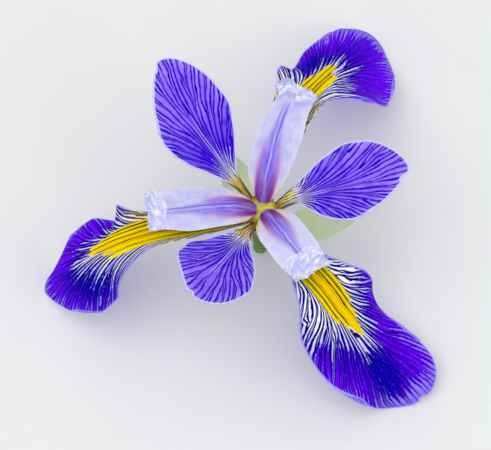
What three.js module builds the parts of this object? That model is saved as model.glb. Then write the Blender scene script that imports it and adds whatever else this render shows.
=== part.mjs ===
// Blue flag iris: one open flower on a short cut stalk, face up.
// It stands on the tips of its three drooping falls and on the stalk's end.
// Millimetres and degrees, Z up, the flower's axis upright.
import * as THREE from "three";

// Heights on the flower's axis
const STALK_TOP = 2.7;
const OVARY_BASE = 3.0;
const OVARY_TOP = 12.2;
const TUBE_BASE = 12.5;
const TUBE_TOP = 22.2;
const COLUMN_BASE = 22.6;
const COLUMN_TOP = 26.9;

// Radii on the flower's axis
const STALK_RADIUS = 1.9;
const OVARY_RADIUS = 2.5;
const OVARY_RIBS = 0.08;
const TUBE_RADIUS = 1.7;
const TUBE_MOUTH_RADIUS = 3.3;
const COLUMN_RADIUS = 1.2;
const COLUMN_RIM_RADIUS = 3.8;

// Falls: half width and upward curl of the margin along the length
const FALL_BASE = { radius: 3.1, height: 22.9 };
const FALL_WIDTH = [
  [0, 1.7], [0.12, 3.1], [0.25, 4.8], [0.33, 6.6], [0.4, 9.1], [0.5, 12.4], [0.65, 13.9], [0.8, 11.1],
];
const FALL_CURL = [
  [0, 46], [0.25, 38], [0.36, 39], [0.44, 16], [0.56, -38], [0.67, -37], [0.8, -25], [1, -45],
];
const FALL_THICKNESS = [[0, 1], [0.3, 0.9], [0.5, 0.6], [1, 0.5]];
const WING_START = 0.3;
const WAIST_START = 0.45;
const BLADE_START = 0.6;
const END_START = 0.75;
const END_CURL_START = 0.9;
const FALLS = {
  fall_left: {
    seat: 190,
    azimuth: 201,
    length: 70.9,
    slope: [[0, 30], [0.15, 24], [0.3, 12], [0.42, -14], [0.54, -40], [0.7, -55], [1, -68]],
    turn: [[0, 0], [0.5, -10], [1, -23]],
    twist: [[0, 0], [0.4, 18], [0.7, 2], [1, -6]],
    leftSide: {
      wing: 0.89, blade: 0.98, end: 0.88,
      wingCurl: 10, waistCurl: -2, bladeCurl: -8, endCurl: -27,
    },
    rightSide: {
      wing: 0.72, blade: 0.9, end: 0.84,
      wingCurl: 23, waistCurl: -19, bladeCurl: 3, endCurl: -54,
    },
    tip: { start: 0.8, roundness: 1.6, blend: 3, skew: -0.32 },
    notch: { depth: -1.2, at: -0.12, width: 0.25 },
  },
  fall_upper: {
    seat: 74,
    azimuth: 77,
    length: 77.2,
    slope: [[0, 30], [0.15, 23], [0.3, 7], [0.42, -32], [0.54, -37], [0.7, -37], [1, -58]],
    turn: [[0, 0], [0.5, -20], [1, -22]],
    twist: [[0, 0], [0.4, -8], [0.7, 1], [1, 17]],
    leftSide: {
      wing: 1.08, blade: 0.84, end: 0.86,
      wingCurl: 4, waistCurl: -13, bladeCurl: -7, endCurl: -7,
    },
    rightSide: {
      wing: 0.78, blade: 1.16, end: 1.13,
      wingCurl: -8, waistCurl: 25, bladeCurl: 6, endCurl: 10,
    },
    tip: { start: 0.8, roundness: 1.9, blend: 3, skew: 0.03 },
    notch: { depth: 1.1, at: -0.45, width: 0.15 },
  },
  fall_lower: {
    seat: 305,
    azimuth: 296.6,
    length: 66.1,
    slope: [[0, 30], [0.15, 24], [0.3, 2], [0.42, -48], [0.54, -46], [0.7, -37], [1, -38]],
    turn: [[0, 0], [0.5, 23], [1, 28]],
    twist: [[0, 0], [0.4, 8], [0.7, -17], [1, 34]],
    leftSide: {
      wing: 1.05, blade: 0.98, end: 1,
      wingCurl: -35, waistCurl: 6, bladeCurl: -3, endCurl: -3,
    },
    rightSide: {
      wing: 1.1, blade: 1.03, end: 1,
      wingCurl: -29, waistCurl: 0, bladeCurl: 3, endCurl: 3,
    },
    tip: { start: 0.8, roundness: 2.2, blend: 3, skew: 0 },
    notch: { depth: 0.8, at: 0, width: 0.08 },
  },
};

// Standards: narrow channelled claws that widen into erect blades
const STANDARD_BASE = { radius: 2.8, height: 23.8 };
const STANDARD_CURL = [[0, 50], [0.3, 25], [1, 8]];
const STANDARD_THICKNESS = [[0, 1], [0.3, 0.7], [1, 0.5]];
const STANDARDS = {
  standard_upper_left: {
    seat: 133,
    azimuth: 131.3,
    length: 42.7,
    slope: [[0, 35], [0.3, 32], [0.6, 33], [1, 24]],
    turn: [[0, 0], [0.5, 2], [1, -16]],
    left: [[0, 1.1], [0.12, 0.9], [0.2, 2.1], [0.3, 4.1], [0.45, 7.7], [0.6, 9.3], [0.74, 7]],
    right: [[0, 1.1], [0.12, 1.2], [0.2, 1.4], [0.3, 3.8], [0.45, 7.9], [0.6, 10.4], [0.74, 9.8]],
    tip: { start: 0.74, roundness: 1.4, blend: 3, skew: -0.43 },
    notch: { depth: 0.8, at: 0.16, width: 0.06 },
  },
  standard_right: {
    seat: 14,
    azimuth: 16.7,
    length: 37.5,
    slope: [[0, 43], [0.3, 34], [0.6, 29], [1, 23]],
    turn: [[0, 0], [0.5, -17], [1, -3]],
    left: [[0, 1.1], [0.12, 2.2], [0.2, 3.2], [0.3, 5.2], [0.45, 8.6], [0.6, 10.6], [0.74, 10.1]],
    right: [[0, 1.1], [0.12, 0.9], [0.2, 1.1], [0.3, 4], [0.45, 7.6], [0.6, 9.2], [0.74, 7.3]],
    tip: { start: 0.74, roundness: 1.35, blend: 3, skew: 0.34 },
    notch: { depth: 1.2, at: -0.21, width: 0.07 },
  },
  standard_lower_left: {
    seat: 249,
    azimuth: 238.7,
    length: 44.4,
    slope: [[0, 39], [0.3, 46], [0.6, 48], [1, 41]],
    turn: [[0, 0], [0.5, 6], [1, -7]],
    left: [[0, 1.1], [0.12, 0.9], [0.2, 2], [0.3, 3.4], [0.45, 6.3], [0.6, 8.6], [0.74, 10.1]],
    right: [[0, 1.1], [0.12, 1.8], [0.2, 3], [0.3, 4.5], [0.45, 6.8], [0.6, 9.2], [0.74, 9.2]],
    tip: { start: 0.74, roundness: 1.57, blend: 3, skew: 0.4 },
    notch: { depth: 1, at: 0.03, width: 0.07 },
  },
};

// Style arms: petal-like arms over the falls, each ending in an upturned crest
const STYLE_BASE = { radius: 0.7, height: 27.8 };
const STYLE_CURL = [[0, -20], [0.2, -34], [0.7, -34], [0.9, -10], [1, 0]];
const STYLE_THICKNESS = [[0, 0.7], [0.5, 0.7], [0.9, 0.5], [1, 0.4]];
const STYLE_TIP = { start: 0.96, roundness: 8, blend: 6 };
const STYLE_ARMS = {
  style_arm_left: {
    azimuth: 184.5,
    length: 29.7,
    slope: [[0, 32], [0.3, 25], [0.6, 15], [0.84, 14], [0.92, 41], [1, 65]],
    turn: [[0, 0], [0.5, 9], [1, 2]],
    left: [[0, 0.6], [0.05, 1.9], [0.12, 3.4], [0.3, 4.5], [0.6, 5.1], [0.85, 4.2], [0.96, 5.2]],
    right: [[0, 0.5], [0.05, 1.6], [0.12, 3.8], [0.3, 6.1], [0.6, 6.8], [0.85, 5.8], [0.96, 4.3]],
  },
  style_arm_upper: {
    azimuth: 81.5,
    length: 31.2,
    slope: [[0, 30], [0.3, 24], [0.6, 16], [0.84, 15], [0.92, 42], [1, 65]],
    turn: [[0, 0], [0.4, -5], [1, -24]],
    left: [[0, 0.5], [0.05, 1.5], [0.12, 3.3], [0.3, 5.2], [0.6, 4.8], [0.85, 3.3], [0.96, 5.6]],
    right: [[0, 0.6], [0.05, 1.9], [0.12, 3.6], [0.3, 5.4], [0.6, 6.5], [0.85, 5.6], [0.96, 5.8]],
  },
  style_arm_lower: {
    azimuth: 306,
    length: 24.8,
    slope: [[0, 31], [0.3, 24], [0.6, 16], [0.84, 15], [0.92, 42], [1, 65]],
    turn: [[0, 0], [0.5, -5], [1, -5]],
    left: [[0, 0.6], [0.05, 2], [0.12, 4.6], [0.3, 5.8], [0.6, 5.8], [0.85, 4.8], [0.96, 4.9]],
    right: [[0, 0.6], [0.05, 2], [0.12, 4.4], [0.3, 5.6], [0.6, 5.6], [0.85, 4.8], [0.96, 4.9]],
  },
};

// Stamens: hidden between each style arm and its fall
const FILAMENT_RADIUS = 0.45;
const FILAMENT_START = 0.06;
const STAMEN_LEVEL = 0.36;
const ANTHER_RADIUS = 0.75;
const ANTHER_RANGE = [0.5, 0.8];
const STAMEN_STEPS = 12;
const STAMENS = {
  stamen_left: { fall: "fall_left", arm: "style_arm_left" },
  stamen_upper: { fall: "fall_upper", arm: "style_arm_upper" },
  stamen_lower: { fall: "fall_lower", arm: "style_arm_lower" },
};

// Spathes: two boat-shaped green bracts below the flower
const SPATHE_BASE = { radius: 3.3, height: 3.2 };
const SPATHE_CURL = [[0, 62], [0.5, 50], [1, 40]];
const SPATHE_THICKNESS = [[0, 0.6], [1, 0.5]];
const SPATHES = {
  spathe_outer: {
    azimuth: 356,
    length: 29,
    slope: [[0, 64], [0.3, 52], [0.7, 40], [1, 32]],
    left: [[0, 2.4], [0.2, 3.8], [0.5, 5.6], [0.7, 5]],
    right: [[0, 2.4], [0.2, 3.8], [0.5, 5.6], [0.7, 5]],
    tip: { start: 0.7, roundness: 1.3, blend: 3 },
  },
  spathe_inner: {
    azimuth: 118,
    length: 25,
    slope: [[0, 64], [0.3, 54], [0.7, 44], [1, 38]],
    left: [[0, 2.4], [0.2, 3.6], [0.5, 5], [0.7, 4.4]],
    right: [[0, 2.4], [0.2, 3.6], [0.5, 5], [0.7, 4.4]],
    tip: { start: 0.7, roundness: 1.3, blend: 3 },
  },
};

// Colour and roughness of each kind of piece
const FINISH = {
  fall: { color: 0x4a18be, roughness: 0.55 },
  standard: { color: 0x6e55e1, roughness: 0.55 },
  styleArm: { color: 0xd2ccf0, roughness: 0.45 },
  spathe: { color: 0xa8c982, roughness: 0.6 },
  stamen: { color: 0xe6dcc0, roughness: 0.8 },
  stalk: { color: 0x7da050, roughness: 0.55 },
  ovary: { color: 0x6f9a48, roughness: 0.5 },
  floralTube: { color: 0xb9c070, roughness: 0.5 },
  styleColumn: { color: 0xc8be3c, roughness: 0.5 },
};

// Steps along and across each kind of petal, and round each rod and turned body
const FALL_GRID = [22, 12];
const STANDARD_GRID = [16, 10];
const STYLE_GRID = [16, 8];
const SPATHE_GRID = [10, 6];
const STAMEN_SEGMENTS = 6;
const STALK_SEGMENTS = 20;
const ROUND_SEGMENTS = 24;
const STEPS = 240;

// How much thinner a petal is at its margins, and how flat and blunt an anther is
const MARGIN_THINNING = 0.35;
const ANTHER_FLATNESS = 0.8;
const ANTHER_BLUNTNESS = 0.35;

// A smooth value at t through [t, value] knots, without overshoot
function smooth(knots, t) {
  const last = knots.length - 1;
  const gradient = (i) => (knots[i + 1][1] - knots[i][1]) / (knots[i + 1][0] - knots[i][0]);
  const tangent = (i) => {
    if (i === 0) return gradient(0);
    if (i === last) return gradient(last - 1);
    const a = gradient(i - 1);
    const b = gradient(i);
    return a * b <= 0 ? 0 : (2 * a * b) / (a + b);
  };
  const x = Math.min(Math.max(t, knots[0][0]), knots[last][0]);
  let i = 0;
  while (i < last - 1 && x > knots[i + 1][0]) i += 1;
  const h = knots[i + 1][0] - knots[i][0];
  const f = (x - knots[i][0]) / h;
  const g = 1 - f;
  return (
    knots[i][1] * (1 + 2 * f) * g * g +
    tangent(i) * h * f * g * g +
    knots[i + 1][1] * f * f * (3 - 2 * f) -
    tangent(i + 1) * h * f * f * g
  );
}

// Direction, sideways and upward vectors of a petal at fraction f of its length
function frameAt(petal, f) {
  const rad = THREE.MathUtils.degToRad;
  const slope = rad(smooth(petal.slope, f));
  const heading = rad(petal.azimuth + (petal.turn ? smooth(petal.turn, f) : 0));
  const twist = rad(petal.twist ? smooth(petal.twist, f) : 0);
  const along = new THREE.Vector3(
    Math.cos(slope) * Math.cos(heading),
    Math.cos(slope) * Math.sin(heading),
    Math.sin(slope),
  );
  const level = new THREE.Vector3(-Math.sin(heading), Math.cos(heading), 0);
  const up = along.clone().cross(level);
  const side = level.clone().multiplyScalar(Math.cos(twist)).addScaledVector(up, Math.sin(twist));
  const normal = up.multiplyScalar(Math.cos(twist)).addScaledVector(level, -Math.sin(twist));
  return { along, side, normal };
}

// The centre line of a petal, in equal steps along its length
function centreLine(petal) {
  const a = THREE.MathUtils.degToRad(petal.seat ?? petal.azimuth);
  const { radius, height } = petal;
  const points = [new THREE.Vector3(radius * Math.cos(a), radius * Math.sin(a), height)];
  for (let i = 0; i < STEPS; i += 1) {
    const step = frameAt(petal, i / STEPS).along.add(frameAt(petal, (i + 1) / STEPS).along);
    points.push(points[i].clone().addScaledVector(step, petal.length / STEPS / 2));
  }
  return points;
}

function pointOn(line, f) {
  const x = Math.min(Math.max(f, 0), 1) * STEPS;
  const i = Math.min(Math.floor(x), STEPS - 1);
  return line[i].clone().lerp(line[i + 1], x - i);
}

// Distance along the petal for grid position u, v: rows bend into the rounded tip
function alongAt(petal, u, v) {
  const { start, roundness, blend, skew = 0 } = petal.tip;
  let reach = petal.length * (1 - start) * (1 - Math.abs(v) ** roundness) ** (1 / roundness);
  if (petal.notch) {
    const { depth, at, width } = petal.notch;
    reach -= depth * Math.exp(-(((v - at) / width) ** 2)) * (1 - v ** 8);
  }
  return u * start * petal.length + reach * (1 + skew * v) * u ** blend;
}

// A point of the petal's middle surface
function surfacePoint(petal, line, u, v) {
  const s = alongAt(petal, u, v);
  const f = s / petal.length;
  const widths = v >= 0 ? petal.left : petal.right;
  const curls = v >= 0 ? petal.curlLeft : petal.curlRight;
  const across = Math.abs(v) * smooth(widths, u * petal.tip.start);
  const bend = THREE.MathUtils.degToRad(smooth(curls, f)) / smooth(widths, Math.min(f, petal.tip.start));
  const k = Math.abs(bend) < 1e-6 ? 1e-6 : bend;
  const { side, normal } = frameAt(petal, f);
  return pointOn(line, f)
    .addScaledVector(side, (Math.sign(v) * Math.sin(k * across)) / k)
    .addScaledVector(normal, (1 - Math.cos(k * across)) / k);
}

// A closed thin shell round the petal's middle surface, thinner at its margins
function petalGeometry(petal, [rows, columns]) {
  const line = centreLine(petal);
  const middle = [];
  for (let i = 0; i <= rows; i += 1) {
    middle.push([]);
    for (let j = 0; j <= columns; j += 1) {
      middle[i].push(surfacePoint(petal, line, i / rows, 1 - (2 * j) / columns));
    }
  }
  const positions = [];
  const place = (sign) => {
    for (let i = 0; i <= rows; i += 1) {
      for (let j = 0; j <= columns; j += 1) {
        const du = middle[Math.min(i + 1, rows)][j].clone().sub(middle[Math.max(i - 1, 0)][j]);
        const dv = middle[i][Math.max(j - 1, 0)].clone().sub(middle[i][Math.min(j + 1, columns)]);
        const normal = du.cross(dv).normalize();
        const v = 1 - (2 * j) / columns;
        const edge = Math.max(Math.abs(v) ** 6, (i / rows) ** 12);
        const half = (smooth(petal.thickness, i / rows) / 2) * (1 - MARGIN_THINNING * edge);
        positions.push(...middle[i][j].clone().addScaledVector(normal, sign * half).toArray());
      }
    }
  };
  place(1);
  place(-1);
  const at = (layer, i, j) => layer * (rows + 1) * (columns + 1) + i * (columns + 1) + j;
  const index = [];
  const quad = (a, b, c, d) => index.push(a, b, c, a, c, d);
  for (let i = 0; i < rows; i += 1) {
    for (let j = 0; j < columns; j += 1) {
      quad(at(0, i, j), at(0, i, j + 1), at(0, i + 1, j + 1), at(0, i + 1, j));
      quad(at(1, i, j), at(1, i + 1, j), at(1, i + 1, j + 1), at(1, i, j + 1));
    }
    quad(at(0, i, 0), at(0, i + 1, 0), at(1, i + 1, 0), at(1, i, 0));
    quad(at(0, i, columns), at(1, i, columns), at(1, i + 1, columns), at(0, i + 1, columns));
  }
  for (let j = 0; j < columns; j += 1) {
    quad(at(0, 0, j), at(1, 0, j), at(1, 0, j + 1), at(0, 0, j + 1));
    quad(at(0, rows, j), at(0, rows, j + 1), at(1, rows, j + 1), at(1, rows, j));
  }
  const geometry = new THREE.BufferGeometry();
  geometry.setAttribute("position", new THREE.Float32BufferAttribute(positions, 3));
  geometry.setIndex(index);
  return geometry;
}

// A ring-by-ring body round a path, closed at both ends
function rodGeometry(path, radii, segments) {
  const positions = [];
  const index = [];
  const tangents = path.map((p, i) =>
    path[Math.min(i + 1, path.length - 1)].clone().sub(path[Math.max(i - 1, 0)]).normalize(),
  );
  path.forEach((p, i) => {
    const level = new THREE.Vector3(0, 0, 1).cross(tangents[i]).normalize();
    const up = tangents[i].clone().cross(level);
    for (let j = 0; j < segments; j += 1) {
      const a = (2 * Math.PI * j) / segments;
      const [wide, high] = radii[i];
      const q = p.clone();
      q.addScaledVector(level, wide * Math.cos(a)).addScaledVector(up, high * Math.sin(a));
      positions.push(...q.toArray());
    }
  });
  const ring = (i, j) => i * segments + (j % segments);
  for (let i = 0; i + 1 < path.length; i += 1) {
    for (let j = 0; j < segments; j += 1) {
      index.push(ring(i, j), ring(i, j + 1), ring(i + 1, j + 1));
      index.push(ring(i, j), ring(i + 1, j + 1), ring(i + 1, j));
    }
  }
  const last = path.length - 1;
  const first = positions.length / 3;
  positions.push(...path[0].toArray(), ...path[last].toArray());
  for (let j = 0; j < segments; j += 1) {
    index.push(first, ring(0, j + 1), ring(0, j));
    index.push(first + 1, ring(last, j), ring(last, j + 1));
  }
  const geometry = new THREE.BufferGeometry();
  geometry.setAttribute("position", new THREE.Float32BufferAttribute(positions, 3));
  geometry.setIndex(index);
  return geometry;
}

// A turned body whose profile of [radius, height] starts and ends on the axis
function turned(profile, segments) {
  const points = profile.map(([r, z]) => new THREE.Vector2(r, z));
  return new THREE.LatheGeometry(points, segments).rotateX(Math.PI / 2);
}

// Half widths of one side of a fall: its haft, its wing, its blade and its end
function fallWidth({ wing, blade, end }) {
  return FALL_WIDTH.map(([t, w]) => {
    if (t < WING_START) return [t, w];
    if (t < WAIST_START) return [t, w * wing];
    return [t, w * (t < END_START ? blade : end)];
  });
}

// Curl of one side of a fall: its haft, its wing, its waist, its blade and its end
function fallCurl({ wingCurl, waistCurl, bladeCurl, endCurl }) {
  return FALL_CURL.map(([t, c]) => {
    if (t < WING_START) return [t, c];
    if (t < WAIST_START) return [t, c + wingCurl];
    if (t < BLADE_START) return [t, c + waistCurl];
    return [t, c + (t < END_CURL_START ? bladeCurl : endCurl)];
  });
}

const flower = new THREE.Group();
flower.name = "flower";

function add(name, geometry, finish) {
  const mesh = new THREE.Mesh(geometry, new THREE.MeshStandardMaterial({ ...finish, metalness: 0 }));
  mesh.name = name;
  flower.add(mesh);
}

const petals = {};
for (const [name, fall] of Object.entries(FALLS)) {
  petals[name] = {
    ...FALL_BASE,
    ...fall,
    thickness: FALL_THICKNESS,
    left: fallWidth(fall.leftSide),
    right: fallWidth(fall.rightSide),
    curlLeft: fallCurl(fall.leftSide),
    curlRight: fallCurl(fall.rightSide),
  };
  add(name, petalGeometry(petals[name], FALL_GRID), FINISH.fall);
}
for (const [name, standard] of Object.entries(STANDARDS)) {
  petals[name] = {
    ...STANDARD_BASE,
    ...standard,
    thickness: STANDARD_THICKNESS,
    curlLeft: STANDARD_CURL,
    curlRight: STANDARD_CURL,
  };
  add(name, petalGeometry(petals[name], STANDARD_GRID), FINISH.standard);
}
for (const [name, arm] of Object.entries(STYLE_ARMS)) {
  petals[name] = {
    ...STYLE_BASE,
    ...arm,
    tip: STYLE_TIP,
    thickness: STYLE_THICKNESS,
    curlLeft: STYLE_CURL,
    curlRight: STYLE_CURL,
  };
  add(name, petalGeometry(petals[name], STYLE_GRID), FINISH.styleArm);
}
for (const [name, spathe] of Object.entries(SPATHES)) {
  petals[name] = {
    ...SPATHE_BASE,
    ...spathe,
    thickness: SPATHE_THICKNESS,
    curlLeft: SPATHE_CURL,
    curlRight: SPATHE_CURL,
  };
  add(name, petalGeometry(petals[name], SPATHE_GRID), FINISH.spathe);
}

// Each stamen follows the gap between its fall and its style arm
for (const [name, { fall, arm }] of Object.entries(STAMENS)) {
  const low = centreLine(petals[fall]);
  const high = centreLine(petals[arm]);
  const reach = petals[arm].length / petals[fall].length;
  const path = [];
  const radii = [];
  for (let i = 0; i <= STAMEN_STEPS; i += 1) {
    const t = FILAMENT_START + (i / STAMEN_STEPS) * (ANTHER_RANGE[1] - FILAMENT_START);
    path.push(pointOn(low, t * reach).lerp(pointOn(high, t), STAMEN_LEVEL));
    const inAnther = Math.max(0, (t - ANTHER_RANGE[0]) / (ANTHER_RANGE[1] - ANTHER_RANGE[0]));
    const swell = Math.sin(Math.PI * Math.min(1, inAnther)) ** ANTHER_BLUNTNESS;
    const radius = FILAMENT_RADIUS + (inAnther > 0 ? (ANTHER_RADIUS - FILAMENT_RADIUS) * swell : 0);
    radii.push([radius, radius * ANTHER_FLATNESS]);
  }
  add(name, rodGeometry(path, radii, STAMEN_SEGMENTS), FINISH.stamen);
}

const stalk = new THREE.CylinderGeometry(STALK_RADIUS, STALK_RADIUS, STALK_TOP, STALK_SEGMENTS);
add("stalk", stalk.rotateX(Math.PI / 2).translate(0, 0, STALK_TOP / 2), FINISH.stalk);

// The ovary is bluntly three-sided
const ovary = turned(
  [
    [0, OVARY_BASE],
    [OVARY_RADIUS * 0.7, OVARY_BASE],
    [OVARY_RADIUS * 0.95, OVARY_BASE + 1.6],
    [OVARY_RADIUS, OVARY_BASE + 4],
    [OVARY_RADIUS * 0.95, OVARY_TOP - 2.4],
    [TUBE_RADIUS, OVARY_TOP],
    [0, OVARY_TOP],
  ],
  ROUND_SEGMENTS,
);
const ovaryPoints = ovary.getAttribute("position");
for (let i = 0; i < ovaryPoints.count; i += 1) {
  const x = ovaryPoints.getX(i);
  const y = ovaryPoints.getY(i);
  const swell = 1 - OVARY_RIBS * (1 - Math.cos(3 * Math.atan2(y, x)));
  ovaryPoints.setXY(i, x * swell, y * swell);
}
add("ovary", ovary, FINISH.ovary);

add(
  "floral_tube",
  turned(
    [
      [0, TUBE_BASE],
      [TUBE_RADIUS, TUBE_BASE],
      [TUBE_RADIUS, TUBE_BASE + 4.5],
      [TUBE_RADIUS + 0.4, TUBE_TOP - 2.6],
      [TUBE_MOUTH_RADIUS, TUBE_TOP - 0.3],
      [TUBE_MOUTH_RADIUS - 0.4, TUBE_TOP],
      [0, TUBE_TOP - 0.6],
    ],
    ROUND_SEGMENTS,
  ),
  FINISH.floralTube,
);

add(
  "style_column",
  turned(
    [
      [0, COLUMN_BASE],
      [COLUMN_RADIUS, COLUMN_BASE],
      [COLUMN_RADIUS + 0.1, COLUMN_BASE + 2],
      [COLUMN_RADIUS + 1, COLUMN_TOP - 0.9],
      [COLUMN_RIM_RADIUS, COLUMN_TOP + 0.1],
      [COLUMN_RIM_RADIUS, COLUMN_TOP + 0.5],
      [COLUMN_RADIUS + 1, COLUMN_TOP + 0.1],
      [0, COLUMN_TOP],
    ],
    ROUND_SEGMENTS,
  ),
  FINISH.styleColumn,
);

// The middle of the flower's outline stands over the origin, on the surface
const bounds = new THREE.Box3().setFromObject(flower);
const middle = bounds.getCenter(new THREE.Vector3());
flower.position.set(-middle.x, -middle.y, -bounds.min.z);
flower.updateMatrixWorld(true);

export default flower;
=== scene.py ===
import math
from types import SimpleNamespace

import bpy
import numpy as np
from bpy.props import FloatProperty, FloatVectorProperty, PointerProperty
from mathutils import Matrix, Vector


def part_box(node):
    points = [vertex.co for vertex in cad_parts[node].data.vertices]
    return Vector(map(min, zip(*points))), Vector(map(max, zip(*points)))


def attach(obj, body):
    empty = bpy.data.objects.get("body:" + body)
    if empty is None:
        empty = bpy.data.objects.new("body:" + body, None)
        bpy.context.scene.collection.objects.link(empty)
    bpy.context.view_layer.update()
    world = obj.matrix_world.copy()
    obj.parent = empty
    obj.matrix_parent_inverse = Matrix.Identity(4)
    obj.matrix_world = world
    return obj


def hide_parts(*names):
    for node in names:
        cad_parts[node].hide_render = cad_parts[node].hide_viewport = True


bl_info = {
    "name": "Blue Flag Iris",
    "version": (1, 0, 0),
    "blender": (4, 5, 0),
    "location": "3D View > Sidebar > Iris",
    "description": "Builds one open blue flag iris flower with its stage, lights and camera",
    "category": "Add Mesh",
}

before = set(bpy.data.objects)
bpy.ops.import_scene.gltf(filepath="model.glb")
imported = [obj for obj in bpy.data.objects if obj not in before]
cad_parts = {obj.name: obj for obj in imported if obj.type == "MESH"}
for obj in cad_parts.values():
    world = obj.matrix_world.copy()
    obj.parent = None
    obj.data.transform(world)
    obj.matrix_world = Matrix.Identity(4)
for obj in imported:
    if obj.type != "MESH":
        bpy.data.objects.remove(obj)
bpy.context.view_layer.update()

# Lengths in this file are millimetres and angles are degrees, unless a name says otherwise
MM = 0.001

# The flower's axis and the surface it rests on, from the stalk
STALK_LOW, STALK_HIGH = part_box("stalk")
AXIS_X = (STALK_LOW.x + STALK_HIGH.x) / 2 / MM
AXIS_Y = (STALK_LOW.y + STALK_HIGH.y) / 2 / MM
STALK_FOOT = STALK_LOW.z / MM

# Heights and radii on the axis, above the stalk's foot
STALK = {"top": 2.7, "radius": 1.9}
OVARY = {"base": 3.0, "top": 12.2, "radius": 2.5, "lobes": 0.08}
TUBE = {"base": 12.5, "top": 22.2, "radius": 1.7, "mouth": 3.3}
COLUMN = {"base": 22.6, "top": 26.9, "radius": 1.2, "rim": 3.8}
JUNCTION_HEIGHT = 28.0

# The photograph's view
FRAME_WIDTH = 491
FRAME_HEIGHT = 450
SENSOR_WIDTH = 36.0
CAMERA_ELEVATION = 70.0
CAMERA_DISTANCE = 400.0
MM_PER_PIXEL = 0.24
JUNCTION_PIXEL = (261.5, 208.0)

# The stage, in metres and watts
FLOOR_HALF = 2.0
NEAREST_IN_VIEW = 0.01
SKY_COLOUR = (0.94, 0.96, 1.0, 1.0)
SKY_STRENGTH = 0.76
PANEL_DISTANCE = 1.0
PANELS = {
    "sky_panel": {"direction": (-0.3, -0.1, 1.0), "size": 0.9, "power": 3.2},
    "side_panel": {"direction": (0.8, -0.5, 0.7), "size": 0.7, "power": 1.3},
}

# Rows and columns of each kind of piece, how strongly a sheet's columns crowd towards its margins,
# and steps along a centre line
FALL_GRID = (250, 120)
STANDARD_GRID = (190, 110)
STYLE_GRID = (170, 100)
SPATHE_GRID = (100, 56)
STAMEN_GRID = (90, 24)
ROUND_GRID = (120, 96)
CROWDING = 0.82
STEPS = 240

# The midrib's keel, groove or ridge on each kind of sheet: height and half width
FALL_KEEL = (0.45, 0.7)
STANDARD_GROOVE = (-0.22, 0.6)
STYLE_RIDGE = (0.25, 0.5)
SPATHE_KEEL = (0.3, 0.6)

# Wavelengths of the ruffled margins
FALL_WAVE = 14.0
STANDARD_WAVE = 8.0

# First seed of each kind of piece, and how much it grows from one piece to the next
SEEDS = {"fall": (2.0, 7), "standard": (23.0, 5), "style_arm": (41.0, 3)}

# How often a strip between two veins can split
VEIN_LEVELS = 3

# Falls: half width and upward curl of the margin along the length. Each side of a fall has its own
# factors of the width and additions to the curl, each of which holds from its start to the next one
FALL_BASE = {"radius": 3.1, "height": 22.9}
FALL_WIDTH = [
    (0, 1.7), (0.12, 3.1), (0.25, 4.8), (0.33, 6.6), (0.4, 9.1), (0.5, 12.4), (0.65, 13.9), (0.8, 11.1),
]
FALL_CURL = [(0, 46), (0.25, 38), (0.36, 39), (0.44, 16), (0.56, -38), (0.67, -37), (0.8, -25), (1, -45)]
WIDTH_STARTS = (0.3, 0.45, 0.75)
CURL_STARTS = (0.3, 0.45, 0.6, 0.9)
FALLS = {
    "fall_left": {
        "seat": 190, "azimuth": 201, "length": 70.9,
        "slope": [(0, 30), (0.15, 24), (0.3, 12), (0.42, -14), (0.54, -40), (0.7, -55), (1, -68)],
        "turn": [(0, 0), (0.5, -10), (1, -23)],
        "twist": [(0, 0), (0.4, 18), (0.7, 2), (1, -6)],
        "left_widths": (0.89, 0.98, 0.88), "left_curls": (10, -2, -8, -27),
        "right_widths": (0.72, 0.9, 0.84), "right_curls": (23, -19, 3, -54),
        "tip": {"start": 0.8, "roundness": 1.6, "blend": 3, "skew": -0.32},
        "notch": {"depth": -1.2, "at": -0.12, "width": 0.25},
    },
    "fall_upper": {
        "seat": 74, "azimuth": 77, "length": 77.2,
        "slope": [(0, 30), (0.15, 23), (0.3, 7), (0.42, -32), (0.54, -37), (0.7, -37), (1, -58)],
        "turn": [(0, 0), (0.5, -20), (1, -22)],
        "twist": [(0, 0), (0.4, -8), (0.7, 1), (1, 17)],
        "left_widths": (1.08, 0.84, 0.86), "left_curls": (4, -13, -7, -7),
        "right_widths": (0.78, 1.16, 1.13), "right_curls": (-8, 25, 6, 10),
        "tip": {"start": 0.8, "roundness": 1.9, "blend": 3, "skew": 0.03},
        "notch": {"depth": 1.1, "at": -0.45, "width": 0.15},
    },
    "fall_lower": {
        "seat": 305, "azimuth": 296.6, "length": 66.1,
        "slope": [(0, 30), (0.15, 24), (0.3, 2), (0.42, -48), (0.54, -46), (0.7, -37), (1, -38)],
        "turn": [(0, 0), (0.5, 23), (1, 28)],
        "twist": [(0, 0), (0.4, 8), (0.7, -17), (1, 34)],
        "left_widths": (1.05, 0.98, 1), "left_curls": (-35, 6, -3, -3),
        "right_widths": (1.1, 1.03, 1), "right_curls": (-29, 0, 3, 3),
        "tip": {"start": 0.8, "roundness": 2.2, "blend": 3, "skew": 0},
        "notch": {"depth": 0.8, "at": 0, "width": 0.08},
    },
}

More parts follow.
